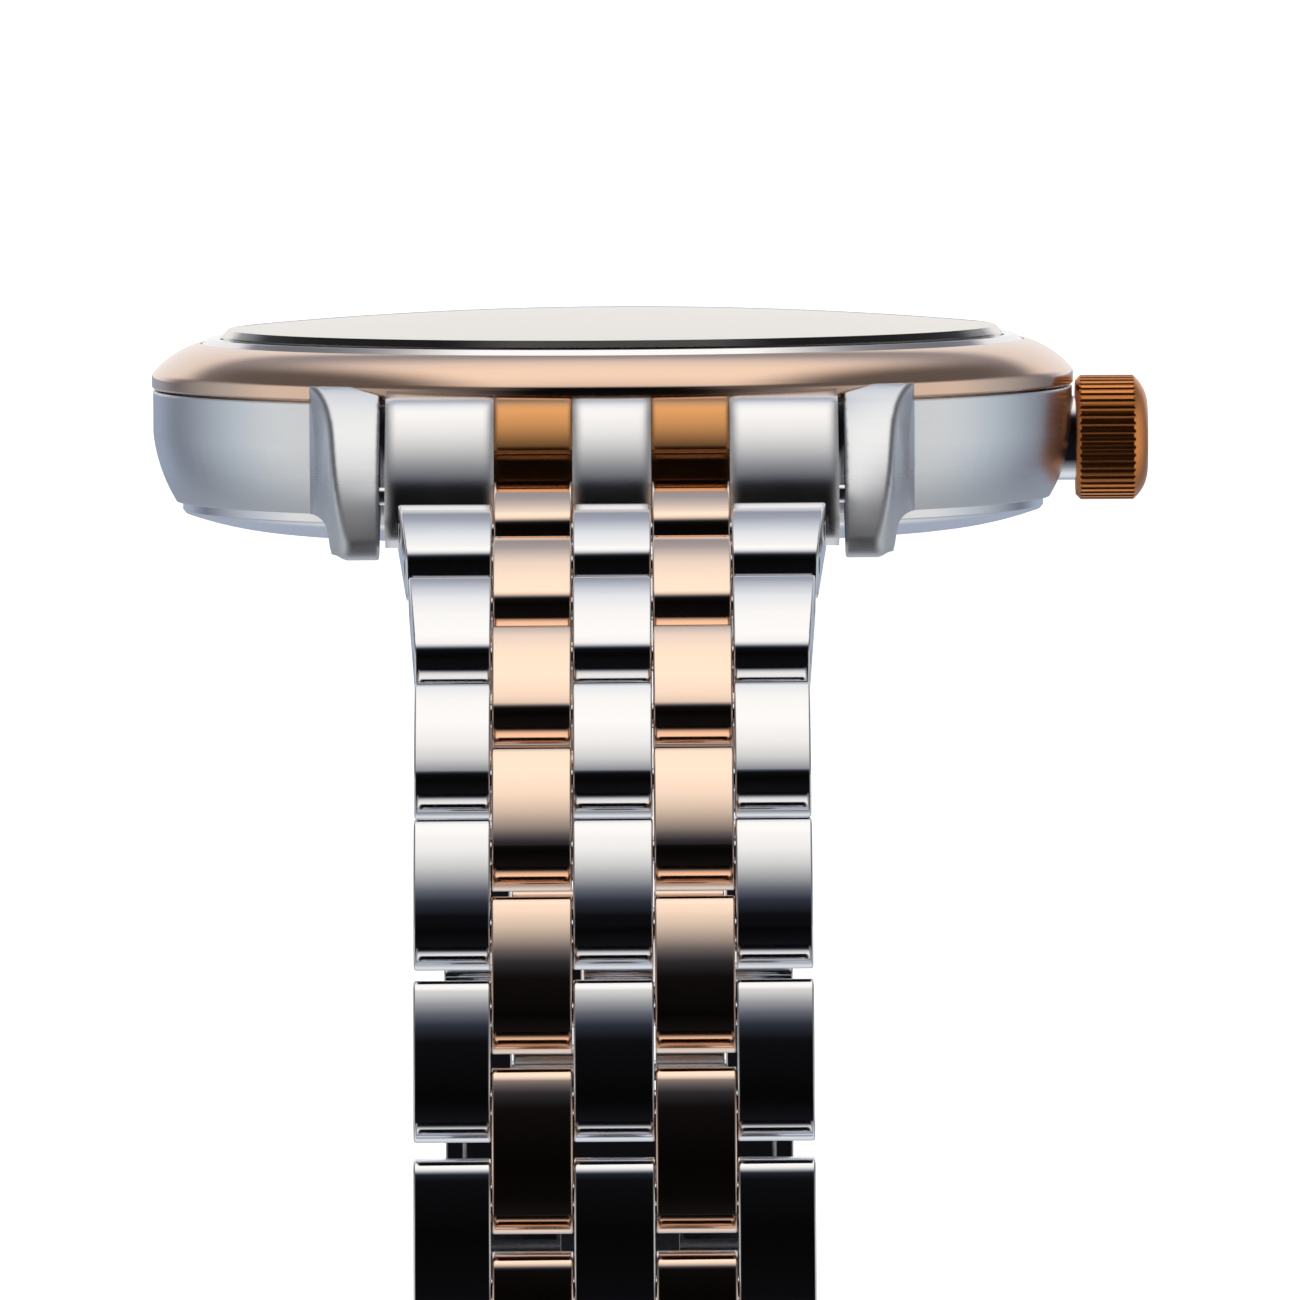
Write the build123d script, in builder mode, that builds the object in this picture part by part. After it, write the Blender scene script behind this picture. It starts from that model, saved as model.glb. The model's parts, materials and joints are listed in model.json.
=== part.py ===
"""A two-tone wristwatch on an opened five-row link bracelet, built as separate pieces.

The frame: the origin is the centre of the case back's outer face, +Z points out of the dial, +X to three
o'clock and the crown, +Y to twelve o'clock. The bracelet leaves the case towards -Y (the six o'clock half)
and +Y (the twelve o'clock half) and droops in two equal arcs, opened at the clasp. All sizes are in mm.
"""
import os
from math import asin, atan2, cos, degrees, pi, radians, sin, sqrt

from build123d import *

os.makedirs("parts", exist_ok=True)

# ---------------------------------------------------------------- driving sizes
# Head: radii and heights above the case back's outer face
BEZEL_RADIUS = 20.5  # the head's other radii, the lugs and the end links follow this one
CASE_RADIUS = BEZEL_RADIUS - 0.05
CASE_FOOT_RADIUS = CASE_RADIUS - 1.0
BACK_RADIUS = CASE_FOOT_RADIUS - 0.3
BACK_FLAT_RADIUS = BACK_RADIUS - 5.15
BACK_RIM_BOTTOM = 0.88
SPIGOT_RADIUS = BACK_RADIUS - 1.65
MOVEMENT_RADIUS = SPIGOT_RADIUS - 1.3
DIAL_RADIUS = MOVEMENT_RADIUS - 0.45
RING_OUTER_RADIUS = BEZEL_RADIUS - 2.2
CRYSTAL_RADIUS = RING_OUTER_RADIUS - 0.96
CASE_BOTTOM = 1.4
CASE_TOP = 6.3
CASE_WALL_BREAK = 4.4  # above this height the case's flank is upright
CRYSTAL_BEVEL = 0.25
CRYSTAL_EDGE_TOP = 9.0
CRYSTAL_SEAT = 7.6
CRYSTAL_DOME = 0.8
CRYSTAL_UNDER_DOME = 0.6
GASKET_WALL = 0.14
RING_TOP = 8.62
BEZEL_TOP = 8.4
BEZEL_SHOULDER = 7.15  # where the bezel's slope meets its upright band
BEZEL_BOTTOM = 6.4
BACK_FLOOR = 1.0
SPIGOT_WALL = 0.9
SPIGOT_TOP = 2.2
DIAL_BOTTOM = 5.6
DIAL_THICKNESS = 0.4

# Lugs
LUG_GAP = 20.16
LUG_ROOT_WIDTH = 3.1
LUG_WAIST_WIDTH = 2.3
LUG_TIP_WIDTH = 1.95
LUG_REACH = BEZEL_RADIUS + 4.0  # from the watch's axis to the lug's tip
LUG_TOP = 7.05
LUG_TIP_HEIGHT = 0.75
LUG_TIP_BOTTOM = -0.2
LUG_TOP_START = BEZEL_RADIUS - 3.3
LUG_ROOT_START = LUG_TOP_START - 1.8  # inside the case's wall
LUG_RIDGE_ROUND = 0.4

# Crown and stem
CROWN_HEIGHT = 3.95
CROWN_RADIUS = 2.77
CROWN_LENGTH = 2.65
CROWN_CAP = 0.55
CROWN_FLUTES = 48
CROWN_GAP = 0.15
TUBE_RADIUS = 1.9
STEM_RADIUS = 0.6
STEM_INNER_END = 8.0
LEVER_X = 9.0
LEVER_THICKNESS = 0.5

# Bracelet
HINGE_PITCH = 4.0  # pin to pin, half the length of one repeat
LINK_GAP = 0.86  # between two links of one strip when the bracelet is straight
LINK_CROWN = 1.45  # height of the link's domed face above its pins
LINK_UNDERSIDE = 1.15
LINK_DOME_RADIUS = 12.0
LINK_SHOULDER_RADIUS = 1.1
LINK_SHOULDER_TILT = 55.0
LINK_HEEL_RADIUS = 0.8
STRIP_PITCH = 3.4  # centre strip and gold strip, seam to seam
STRIP_SEAM = 0.05
BRACELET_HALF_WIDTH = 8.33
BRACELET_LUG_HALF_WIDTH = 9.42
TAPER_LENGTH = 15.5
LINK_EDGE_ROUND = 0.1
PIN_RADIUS = 0.5
PIN_PRESS_CLEARANCE = 0.02
PIN_TURN_CLEARANCE = 0.06
PIN_END_RECESS = 0.15

# How the opened bracelet lies: each half starts at DRAPE_START below level and turns DRAPE_STEP at each pin
DRAPE_START = 12.3
DRAPE_STEP = 5.5
FIRST_PIN_REACH = BEZEL_RADIUS + 4.8  # from the watch's axis to the end link's hinge pin
FIRST_PIN_HEIGHT = 1.98
ROWS_6 = 7  # steel rows, and as many gold rows, on the six o'clock half
ROWS_12 = 6

# End links
END_LINK_HALF_WIDTH = 9.8
END_LINK_TOP = 6.8
END_LINK_START = BEZEL_RADIUS + 0.15
END_LINK_BACK = BEZEL_RADIUS - 3.0
END_LINK_BACK_TOP = 6.95
END_LINK_ROLL = 3.0
END_LINK_NOSE = FIRST_PIN_REACH + 1.3
END_LINK_NOSE_HEIGHT = 1.95
INSERT_FOOT_HEIGHT = 4.62
INSERT_WALL_FRONT = FIRST_PIN_REACH - 1.8
INSERT_WALL = 0.35
CASE_CLEARANCE = 0.1
SPRING_BAR_REACH = FIRST_PIN_REACH - 3.1
SPRING_BAR_HEIGHT = 2.5
SPRING_BAR_RADIUS = 0.75
SPRING_BAR_TIP_RADIUS = 0.4
SPRING_BAR_TIP = 0.75
SPRING_BAR_CLEARANCE = 0.05

# Clasp: lengths along the bracelet's arc, heights from the pins' arc
COVER_LENGTH = 30.0
COVER_PLATE_TOP = 1.45
COVER_PLATE = 0.9
COVER_WALL = 0.9
COVER_WALL_BOTTOM = -1.1
CLASP_PIN_RADIUS = 0.45
CLASP_KNUCKLE_RADIUS = 0.95
BLADE_PLATE = 0.7
BLADE_SIDE_CLEARANCE = 0.15
OUTER_BLADE_HEIGHT = -0.55  # middle of the outer blade's plate
INNER_BLADE_HEIGHT = -1.9
INNER_BLADE_SHORTFALL = 4.0
CLASP_FOLD_START = 4.2  # from the last row's pin to the blades' fold hinge

# Movement, seen from the dial: arbor places and wheel trains
PLATE_BOTTOM = 4.6
BRIDGE_BOTTOM = 1.8
BRIDGE_THICKNESS = 0.6
BRIDGE_RADIUS = MOVEMENT_RADIUS - 1.0
BRIDGE_RIM = 1.0
ARBOR_RADIUS = 0.2
ARBOR_CLEARANCE = 0.04
TOOTH_WIDTH = 0.38  # of the tooth pitch
TOOTH_ADDENDUM = 0.8
TOOTH_DEDENDUM = 1.2
TRAIN_SCALE = MOVEMENT_RADIUS / 16.2  # the wheels and their places follow the movement's radius
BARREL_TEETH, CENTRE_PINION, BARREL_MODULE = 80, 10, 0.16 * TRAIN_SCALE
CENTRE_TEETH, THIRD_PINION, CENTRE_MODULE = 64, 8, 0.15 * TRAIN_SCALE
THIRD_TEETH, FOURTH_PINION, THIRD_MODULE = 60, 8, 0.13 * TRAIN_SCALE
FOURTH_TEETH, ESCAPE_PINION, FOURTH_MODULE = 70, 7, 0.11 * TRAIN_SCALE
SMALL_SECONDS_REACH = 7.6 * TRAIN_SCALE
ESCAPE_RADIUS = 2.15 * TRAIN_SCALE
ESCAPE_TEETH = 15
BALANCE_RADIUS = 4.2 * TRAIN_SCALE
BALANCE_RIM = 0.5
PALLET_FROM_ESCAPE = 2.6 * TRAIN_SCALE
PALLET_TO_BALANCE = 3.4 * TRAIN_SCALE


# ---------------------------------------------------------------- small helpers
def save(piece, name):
    """Label a finished piece and write it to its own file."""
    piece.part.label = name
    export_step(piece.part, f"parts/{name}.step")


def polar(radius, angle):
    """A point in the dial plane, angle in degrees from +X."""
    return (radius * cos(radians(angle)), radius * sin(radians(angle)))


def side_plane(half, x):
    """The plane across the watch at x in which the case's side view is drawn: first axis outwards along
    half * Y, second axis up. half is -1 for six o'clock and +1 for twelve o'clock."""
    return Plane(origin=(x, 0, 0), x_dir=(0, half, 0), z_dir=(half, 0, 0))


def drape_point(count):
    """Outward reach and height of the pin that ends `count` links of a drooping half."""
    reach, height = FIRST_PIN_REACH, FIRST_PIN_HEIGHT
    for index in range(count):
        slope = radians(DRAPE_START + DRAPE_STEP * index)
        reach += HINGE_PITCH * cos(slope)
        height -= HINGE_PITCH * sin(slope)
    return reach, height


def link_location(half, index):
    """Where link `index` (0 is the first gold row) lies: its own X across the watch, Y along the bracelet
    away from the case, Z out of its domed face, origin midway between its two pins."""
    reach, height = drape_point(index)
    slope = radians(DRAPE_START + DRAPE_STEP * index)
    reach += HINGE_PITCH / 2 * cos(slope)
    height -= HINGE_PITCH / 2 * sin(slope)
    outward = (0, half * sin(slope), cos(slope))
    return Plane(origin=(0, half * reach, height), x_dir=(half, 0, 0), z_dir=outward).location


# ---------------------------------------------------------------- head
with BuildPart() as case_back:
    with BuildSketch(Plane.XZ):
        with BuildLine():
            Polyline((0, 0), (BACK_FLAT_RADIUS, 0))
            ThreePointArc(
                (BACK_FLAT_RADIUS, 0), (BACK_RADIUS - 1.75, 0.4), (BACK_RADIUS - 0.12, BACK_RIM_BOTTOM)
            )
            Polyline(
                (BACK_RADIUS - 0.12, BACK_RIM_BOTTOM), (BACK_RADIUS, BACK_RIM_BOTTOM + 0.15),
                (BACK_RADIUS, CASE_BOTTOM), (SPIGOT_RADIUS, CASE_BOTTOM), (SPIGOT_RADIUS, SPIGOT_TOP),
                (SPIGOT_RADIUS - SPIGOT_WALL, SPIGOT_TOP), (SPIGOT_RADIUS - SPIGOT_WALL, BACK_FLOOR),
                (0, BACK_FLOOR), (0, 0),
            )
        make_face()
    revolve(axis=Axis.Z)
save(case_back, "case_back")

GASKET_GROOVE = 0.5
with BuildPart() as back_gasket:
    with BuildSketch(Plane.XY.offset(CASE_BOTTOM)):
        Circle(SPIGOT_RADIUS + GASKET_GROOVE)
        Circle(SPIGOT_RADIUS, mode=Mode.SUBTRACT)
    extrude(amount=SPIGOT_TOP - CASE_BOTTOM)
save(back_gasket, "back_gasket")

TUBE_START = CASE_RADIUS - 2.4
TUBE_END = CASE_RADIUS + 0.75
CROWN_START = CASE_RADIUS + CROWN_GAP
LUG_INNER = LUG_GAP / 2
LUG_TOP_CLEARANCE = 0.12
LUG_UNDER_START = LUG_TOP_START


def lug_outline():
    """Side view of one lug: the top falls in one shallow arc to a blunt tip, the underside is hollow."""
    with BuildLine() as outline:
        Line((LUG_ROOT_START, LUG_TOP), (LUG_TOP_START, LUG_TOP))
        ThreePointArc((LUG_TOP_START, LUG_TOP), (LUG_REACH - 3.15, 4.62), (LUG_REACH, LUG_TIP_HEIGHT))
        ThreePointArc((LUG_REACH, LUG_TIP_HEIGHT), (LUG_REACH - 0.04, 0.1), (LUG_REACH - 0.6, LUG_TIP_BOTTOM))
        Line((LUG_REACH - 0.6, LUG_TIP_BOTTOM), (LUG_REACH - 1.6, LUG_TIP_BOTTOM + 0.1))
        ThreePointArc(
            (LUG_REACH - 1.6, LUG_TIP_BOTTOM + 0.1), (LUG_REACH - 4.0, 0.85), (LUG_UNDER_START, CASE_BOTTOM + 0.1)
        )
        Polyline(
            (LUG_UNDER_START, CASE_BOTTOM + 0.1), (LUG_ROOT_START, CASE_BOTTOM + 0.1), (LUG_ROOT_START, LUG_TOP)
        )
    make_face(outline.line)


def lug_plan():
    """Plan of one lug: straight inner flank, outer flank sweeping in from the case to a rounded tip."""
    root = LUG_INNER + LUG_ROOT_WIDTH
    corner = (LUG_INNER + LUG_TIP_WIDTH - 0.75, LUG_REACH + 0.1)
    with BuildLine() as outline:
        Polyline((LUG_INNER, LUG_ROOT_START), (root, LUG_ROOT_START), (root, LUG_TOP_START - 0.3))
        Spline(
            (root, LUG_TOP_START - 0.3), (LUG_INNER + LUG_WAIST_WIDTH, LUG_REACH - 4.3),
            (LUG_INNER + LUG_TIP_WIDTH, LUG_REACH - 1.2), corner, tangents=((-0.45, 1.0), (-1.0, 0.25)),
        )
        Polyline(corner, (LUG_INNER, LUG_REACH + 0.1), (LUG_INNER, LUG_ROOT_START))
    make_face(outline.line)


def nearest_edge(part, x, y, z):
    """The edge whose middle is nearest a point."""
    return min(part.edges(), key=lambda edge: (edge.center() - Vector(x, y, z)).length)


with BuildPart() as lug:
    with BuildSketch(side_plane(1, LUG_INNER)):
        lug_outline()
    extrude(amount=LUG_ROOT_WIDTH + 0.5)
    with BuildSketch(Plane.XY.offset(LUG_TIP_BOTTOM - 1)):
        lug_plan()
    extrude(amount=LUG_TOP - LUG_TIP_BOTTOM + 2, mode=Mode.INTERSECT)
    fillet(nearest_edge(lug.part, LUG_INNER + 2.2, LUG_REACH - 3.1, 4.6), LUG_RIDGE_ROUND)
    fillet(nearest_edge(lug.part, LUG_INNER, LUG_REACH - 3.1, 4.6), 0.12)

with BuildPart() as case_middle:
    with BuildSketch(Plane.XZ):
        with BuildLine():
            ThreePointArc(
                (CASE_FOOT_RADIUS, CASE_BOTTOM), (CASE_RADIUS - 0.32, 2.9), (CASE_RADIUS, CASE_WALL_BREAK)
            )
            Polyline(
                (CASE_RADIUS, CASE_WALL_BREAK), (CASE_RADIUS, CASE_TOP), (DIAL_RADIUS + 0.1, CASE_TOP),
                (DIAL_RADIUS + 0.1, DIAL_BOTTOM), (MOVEMENT_RADIUS, DIAL_BOTTOM),
                (MOVEMENT_RADIUS, SPIGOT_TOP), (SPIGOT_RADIUS + GASKET_GROOVE, SPIGOT_TOP),
                (SPIGOT_RADIUS + GASKET_GROOVE, CASE_BOTTOM), (CASE_FOOT_RADIUS, CASE_BOTTOM),
            )
        make_face()
    revolve(axis=Axis.Z)
    add(lug.part)
    add(mirror(lug.part, about=Plane.YZ, mode=Mode.PRIVATE))
    add(mirror(lug.part, about=Plane.XZ, mode=Mode.PRIVATE))
    add(mirror(mirror(lug.part, about=Plane.YZ, mode=Mode.PRIVATE), about=Plane.XZ, mode=Mode.PRIVATE))
    # the bezel's seat runs across the lugs' roots
    with BuildSketch(Plane.XY.offset(CASE_TOP)):
        Circle(BEZEL_RADIUS + LUG_TOP_CLEARANCE)
    extrude(amount=2, mode=Mode.SUBTRACT)
    with Locations(
        Location((TUBE_START, 0, CROWN_HEIGHT), (0, 90, 0)),
    ):
        Cylinder(
            TUBE_RADIUS, CASE_RADIUS + 1 - TUBE_START, align=(Align.CENTER, Align.CENTER, Align.MIN),
            mode=Mode.SUBTRACT,
        )
    with Locations(Location((MOVEMENT_RADIUS - 1, 0, CROWN_HEIGHT), (0, 90, 0))):
        Cylinder(
            STEM_RADIUS + 0.1, CASE_RADIUS + 1 - MOVEMENT_RADIUS, align=(Align.CENTER, Align.CENTER, Align.MIN),
            mode=Mode.SUBTRACT,
        )
    # blind holes for the spring bars' tips
    tip_hole_depth = SPRING_BAR_TIP + 0.1
    with Locations(
        *[
            Location((side * (LUG_INNER + tip_hole_depth / 2), half * SPRING_BAR_REACH, SPRING_BAR_HEIGHT),
                     (0, 90, 0))
            for side in (-1, 1) for half in (-1, 1)
        ]
    ):
        Cylinder(SPRING_BAR_TIP_RADIUS + SPRING_BAR_CLEARANCE, tip_hole_depth, mode=Mode.SUBTRACT)
save(case_middle, "case_middle")

with BuildPart() as bezel:
    bezel_inner = RING_OUTER_RADIUS + 0.03
    with BuildSketch(Plane.XZ):
        with BuildLine():
            ThreePointArc(
                (bezel_inner, BEZEL_TOP), (BEZEL_RADIUS - 1.05, BEZEL_TOP - 0.47),
                (BEZEL_RADIUS - 0.12, BEZEL_SHOULDER),
            )
            ThreePointArc(
                (BEZEL_RADIUS - 0.12, BEZEL_SHOULDER), (BEZEL_RADIUS - 0.03, BEZEL_SHOULDER - 0.13),
                (BEZEL_RADIUS, BEZEL_SHOULDER - 0.3),
            )
            Polyline(
                (BEZEL_RADIUS, BEZEL_SHOULDER - 0.3), (BEZEL_RADIUS, BEZEL_BOTTOM + 0.08),
                (BEZEL_RADIUS - 0.08, BEZEL_BOTTOM), (BEZEL_RADIUS - 1.0, BEZEL_BOTTOM),
                (BEZEL_RADIUS - 1.0, CASE_TOP), (bezel_inner, CASE_TOP), (bezel_inner, BEZEL_TOP),
            )
        make_face()
    revolve(axis=Axis.Z)
save(bezel, "bezel")

RING_INNER = CRYSTAL_RADIUS + GASKET_WALL
with BuildPart() as crystal_ring:
    with BuildSketch(Plane.XZ):
        with BuildLine():
            Polyline(
                (RING_INNER, CASE_TOP), (RING_INNER, RING_TOP - 0.08), (RING_INNER + 0.08, RING_TOP),
                (RING_OUTER_RADIUS - 0.36, RING_TOP), (RING_OUTER_RADIUS, RING_TOP - 0.3),
                (RING_OUTER_RADIUS, CASE_TOP), (RING_INNER, CASE_TOP),
            )
        make_face()
    revolve(axis=Axis.Z)
save(crystal_ring, "crystal_ring")

with BuildPart() as crystal_gasket:
    with BuildSketch(Plane.XY.offset(CRYSTAL_SEAT)):
        Circle(RING_INNER)
        Circle(CRYSTAL_RADIUS, mode=Mode.SUBTRACT)
    extrude(amount=0.85)
save(crystal_gasket, "crystal_gasket")

with BuildPart() as crystal:
    dome_edge = CRYSTAL_RADIUS - CRYSTAL_BEVEL
    with BuildSketch(Plane.XZ):
        with BuildLine():
            dome_mid = dome_edge / 2
            RadiusArc(
                (0, CRYSTAL_EDGE_TOP + CRYSTAL_DOME), (dome_edge, CRYSTAL_EDGE_TOP),
                (dome_edge**2 + CRYSTAL_DOME**2) / (2 * CRYSTAL_DOME),
            )
            Polyline(
                (dome_edge, CRYSTAL_EDGE_TOP), (CRYSTAL_RADIUS, CRYSTAL_EDGE_TOP - 0.3),
                (CRYSTAL_RADIUS, CRYSTAL_SEAT), (CRYSTAL_RADIUS - 0.9, CRYSTAL_SEAT),
            )
            under_edge = CRYSTAL_RADIUS - 0.9
            RadiusArc(
                (under_edge, CRYSTAL_SEAT), (0, CRYSTAL_SEAT + CRYSTAL_UNDER_DOME),
                -(under_edge**2 + CRYSTAL_UNDER_DOME**2) / (2 * CRYSTAL_UNDER_DOME),
            )
            Line((0, CRYSTAL_SEAT + CRYSTAL_UNDER_DOME), (0, CRYSTAL_EDGE_TOP + CRYSTAL_DOME))
        make_face()
    revolve(axis=Axis.Z)
save(crystal, "crystal")

DIAL_TOP = DIAL_BOTTOM + DIAL_THICKNESS
with BuildPart() as dial_flange:
    with BuildSketch(Plane.XZ):
        with BuildLine():
            Polyline(
                (DIAL_RADIUS - 0.65, DIAL_TOP), (DIAL_RADIUS, DIAL_TOP), (DIAL_RADIUS, CASE_TOP),
                (CRYSTAL_RADIUS - 0.14, CASE_TOP), (CRYSTAL_RADIUS - 0.14, CRYSTAL_SEAT),
                (CRYSTAL_RADIUS - 0.64, CRYSTAL_SEAT), (DIAL_RADIUS - 0.65, DIAL_TOP),
            )
        make_face()
    revolve(axis=Axis.Z)
save(dial_flange, "dial_flange")

small_seconds = (0, -SMALL_SECONDS_REACH)
with BuildPart() as dial:
    with BuildSketch(Plane.XY.offset(DIAL_BOTTOM)):
        Circle(DIAL_RADIUS)
        Circle(0.95, mode=Mode.SUBTRACT)
        with Locations(small_seconds):
            Circle(0.45, mode=Mode.SUBTRACT)
    extrude(amount=DIAL_THICKNESS)
    # the small seconds' sunk circle
    with BuildSketch(Plane.XY.offset(DIAL_TOP - 0.1)):
        with Locations(small_seconds):
            Circle(3.6 * TRAIN_SCALE)
    extrude(amount=0.2, mode=Mode.SUBTRACT)
save(dial, "dial")

with BuildPart() as dial_markers:
    with BuildSketch(Plane.XY.offset(DIAL_TOP)):
        for hour in range(12):
            if hour == 6:
                continue
            with Locations(Location((*polar(DIAL_RADIUS - 2.85, 90 - 30 * hour), 0), 90 - 30 * hour)):
                Rectangle(3.2, 1.0 if hour == 0 else 0.6)
    extrude(amount=0.3, taper=20)
save(dial_markers, "dial_markers")

# ---------------------------------------------------------------- hands
HOUR_HAND_ANGLE = 90 - 304
MINUTE_HAND_ANGLE = 90 - 50
SECONDS_HAND_ANGLE = 90 - 210
HOUR_HAND_Z = 6.45
MINUTE_HAND_Z = 6.95
SECONDS_HAND_Z = 6.12


def hand_outline(length, tail, width, angle):
    """A slim leaf that widens from its boss and comes to a point."""
    with BuildSketch(mode=Mode.PRIVATE) as outline:
        with BuildLine():
            Polyline(
                (-tail, -width * 0.3), (length * 0.35, -width / 2), (length, 0), (length * 0.35, width / 2),
                (-tail, width * 0.3), (-tail, -width * 0.3),
            )
        make_face()
    return outline.sketch.rotate(Axis.Z, angle)


with BuildPart() as hour_hand:
    with BuildSketch(Plane.XY.offset(HOUR_HAND_Z)):
        add(hand_outline(DIAL_RADIUS - 6.95, 1.8, 1.3, HOUR_HAND_ANGLE))
        Circle(0.9)
        Circle(ARBOR_RADIUS + 0.07, mode=Mode.SUBTRACT)
    extrude(amount=0.2)
    with BuildSketch(Plane.XY.offset(PLATE_BOTTOM + 0.5)):
        Circle(0.55)
        Circle(ARBOR_RADIUS + 0.07, mode=Mode.SUBTRACT)
    extrude(amount=HOUR_HAND_Z - PLATE_BOTTOM - 0.5)
save(hour_hand, "hour_hand")

with BuildPart() as minute_hand:
    with BuildSketch(Plane.XY.offset(MINUTE_HAND_Z)):
        add(hand_outline(DIAL_RADIUS - 2.55, 2.2, 1.1, MINUTE_HAND_ANGLE))
        Circle(0.8)
    extrude(amount=0.18)
    with BuildSketch(Plane.XY.offset(MINUTE_HAND_Z)):
        Circle(0.5)
    extrude(amount=0.32)
save(minute_hand, "minute_hand")

with BuildPart() as seconds_hand:
    with BuildSketch(Plane.XY.offset(SECONDS_HAND_Z)):
        with Locations(small_seconds):
            add(hand_outline(3.0 * TRAIN_SCALE, 1.0, 0.3, SECONDS_HAND_ANGLE))
            Circle(0.4)
    extrude(amount=0.15)
save(seconds_hand, "seconds_hand")

# ---------------------------------------------------------------- crown and stem
with BuildPart() as crown_tube:
    with Locations(Location((TUBE_START, 0, CROWN_HEIGHT), (0, 90, 0))):
        Cylinder(TUBE_RADIUS, TUBE_END - TUBE_START, align=(Align.CENTER, Align.CENTER, Align.MIN))
        Cylinder(
            STEM_RADIUS + 0.08, TUBE_END - TUBE_START, align=(Align.CENTER, Align.CENTER, Align.MIN),
            mode=Mode.SUBTRACT,
        )
save(crown_tube, "crown_tube")

CROWN_END = CROWN_START + CROWN_LENGTH
with BuildPart() as crown:
    with BuildSketch(Plane.XZ):
        with BuildLine():
            Polyline(
                (CROWN_START, CROWN_HEIGHT + TUBE_RADIUS + 0.09),
                (CROWN_START, CROWN_HEIGHT + CROWN_RADIUS - 0.22),
                (CROWN_START + 0.22, CROWN_HEIGHT + CROWN_RADIUS),
                (CROWN_END - 0.1, CROWN_HEIGHT + CROWN_RADIUS),
            )
            ThreePointArc(
                (CROWN_END - 0.1, CROWN_HEIGHT + CROWN_RADIUS),
                (CROWN_END + 0.36, CROWN_HEIGHT + 0.8 * CROWN_RADIUS),
                (CROWN_END + CROWN_CAP, CROWN_HEIGHT + 0.45 * CROWN_RADIUS),
            )
            Polyline(
                (CROWN_END + CROWN_CAP, CROWN_HEIGHT + 0.45 * CROWN_RADIUS),
                (CROWN_END + CROWN_CAP, CROWN_HEIGHT),
                (CROWN_END - 0.6, CROWN_HEIGHT), (CROWN_END - 0.6, CROWN_HEIGHT + STEM_RADIUS),
                (TUBE_END + 0.15, CROWN_HEIGHT + STEM_RADIUS),
                (TUBE_END + 0.15, CROWN_HEIGHT + TUBE_RADIUS + 0.09),
                (CROWN_START, CROWN_HEIGHT + TUBE_RADIUS + 0.09),
            )
        make_face()
    revolve(axis=Axis((0, 0, CROWN_HEIGHT), (1, 0, 0)))
    flute = pi * CROWN_RADIUS / CROWN_FLUTES * 0.62
    with BuildSketch(Plane(origin=(CROWN_START - 0.1, 0, CROWN_HEIGHT), x_dir=(0, 1, 0), z_dir=(1, 0, 0))):
        with PolarLocations(CROWN_RADIUS + flute * 0.35, CROWN_FLUTES):
            Circle(flute)
    extrude(amount=CROWN_LENGTH + 0.35, mode=Mode.SUBTRACT)
save(crown, "crown")

with BuildPart() as winding_stem:
    with Locations(Location((STEM_INNER_END, 0, CROWN_HEIGHT), (0, 90, 0))):
        Cylinder(
            STEM_RADIUS, CROWN_END - 0.6 - STEM_INNER_END, align=(Align.CENTER, Align.CENTER, Align.MIN)
        )
    with BuildSketch(Plane(origin=(LEVER_X - 0.05, 0, CROWN_HEIGHT), x_dir=(0, 1, 0), z_dir=(1, 0, 0))):
        Circle(STEM_RADIUS + 0.1)
        Circle(STEM_RADIUS - 0.2, mode=Mode.SUBTRACT)
    extrude(amount=LEVER_THICKNESS + 0.1, mode=Mode.SUBTRACT)
save(winding_stem, "winding_stem")

with BuildPart() as setting_lever:
    with BuildSketch(Plane(origin=(LEVER_X, 0, CROWN_HEIGHT), x_dir=(0, 1, 0), z_dir=(1, 0, 0))):
        Rectangle(3.0, 1.1)
        Circle(STEM_RADIUS - 0.2 + 0.06, mode=Mode.SUBTRACT)
        with Locations((0, -0.5)):
            Rectangle(2 * (STEM_RADIUS - 0.2 + 0.06), 1.0, mode=Mode.SUBTRACT)
    extrude(amount=LEVER_THICKNESS)
save(setting_lever, "setting_lever")

# ---------------------------------------------------------------- movement
CENTRE_TO_THIRD = CENTRE_MODULE * (CENTRE_TEETH + THIRD_PINION) / 2
THIRD_TO_FOURTH = THIRD_MODULE * (THIRD_TEETH + FOURTH_PINION) / 2
FOURTH_TO_ESCAPE = FOURTH_MODULE * (FOURTH_TEETH + ESCAPE_PINION) / 2
BARREL_TO_CENTRE = BARREL_MODULE * (BARREL_TEETH + CENTRE_PINION) / 2
third_y = -(CENTRE_TO_THIRD**2 - THIRD_TO_FOURTH**2 + SMALL_SECONDS_REACH**2) / (2 * SMALL_SECONDS_REACH)
CENTRE_AT = (0, 0)
THIRD_AT = (sqrt(CENTRE_TO_THIRD**2 - third_y**2), third_y)
FOURTH_AT = small_seconds
ESCAPE_DIRECTION = 195
escape_step = polar(FOURTH_TO_ESCAPE, ESCAPE_DIRECTION)
ESCAPE_AT = (FOURTH_AT[0] + escape_step[0], FOURTH_AT[1] + escape_step[1])
PALLET_DIRECTION = 135
pallet_step = polar(PALLET_FROM_ESCAPE, PALLET_DIRECTION)
PALLET_AT = (ESCAPE_AT[0] + pallet_step[0], ESCAPE_AT[1] + pallet_step[1])
balance_step = polar(PALLET_TO_BALANCE, PALLET_DIRECTION)
BALANCE_AT = (PALLET_AT[0] + balance_step[0], PALLET_AT[1] + balance_step[1])
BARREL_AT = polar(BARREL_TO_CENTRE, 120)
ARBOR_BOTTOM = BRIDGE_BOTTOM + 0.1
ARBOR_TOP = PLATE_BOTTOM + 0.7
BARREL_ARBOR_RADIUS = 0.8


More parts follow.
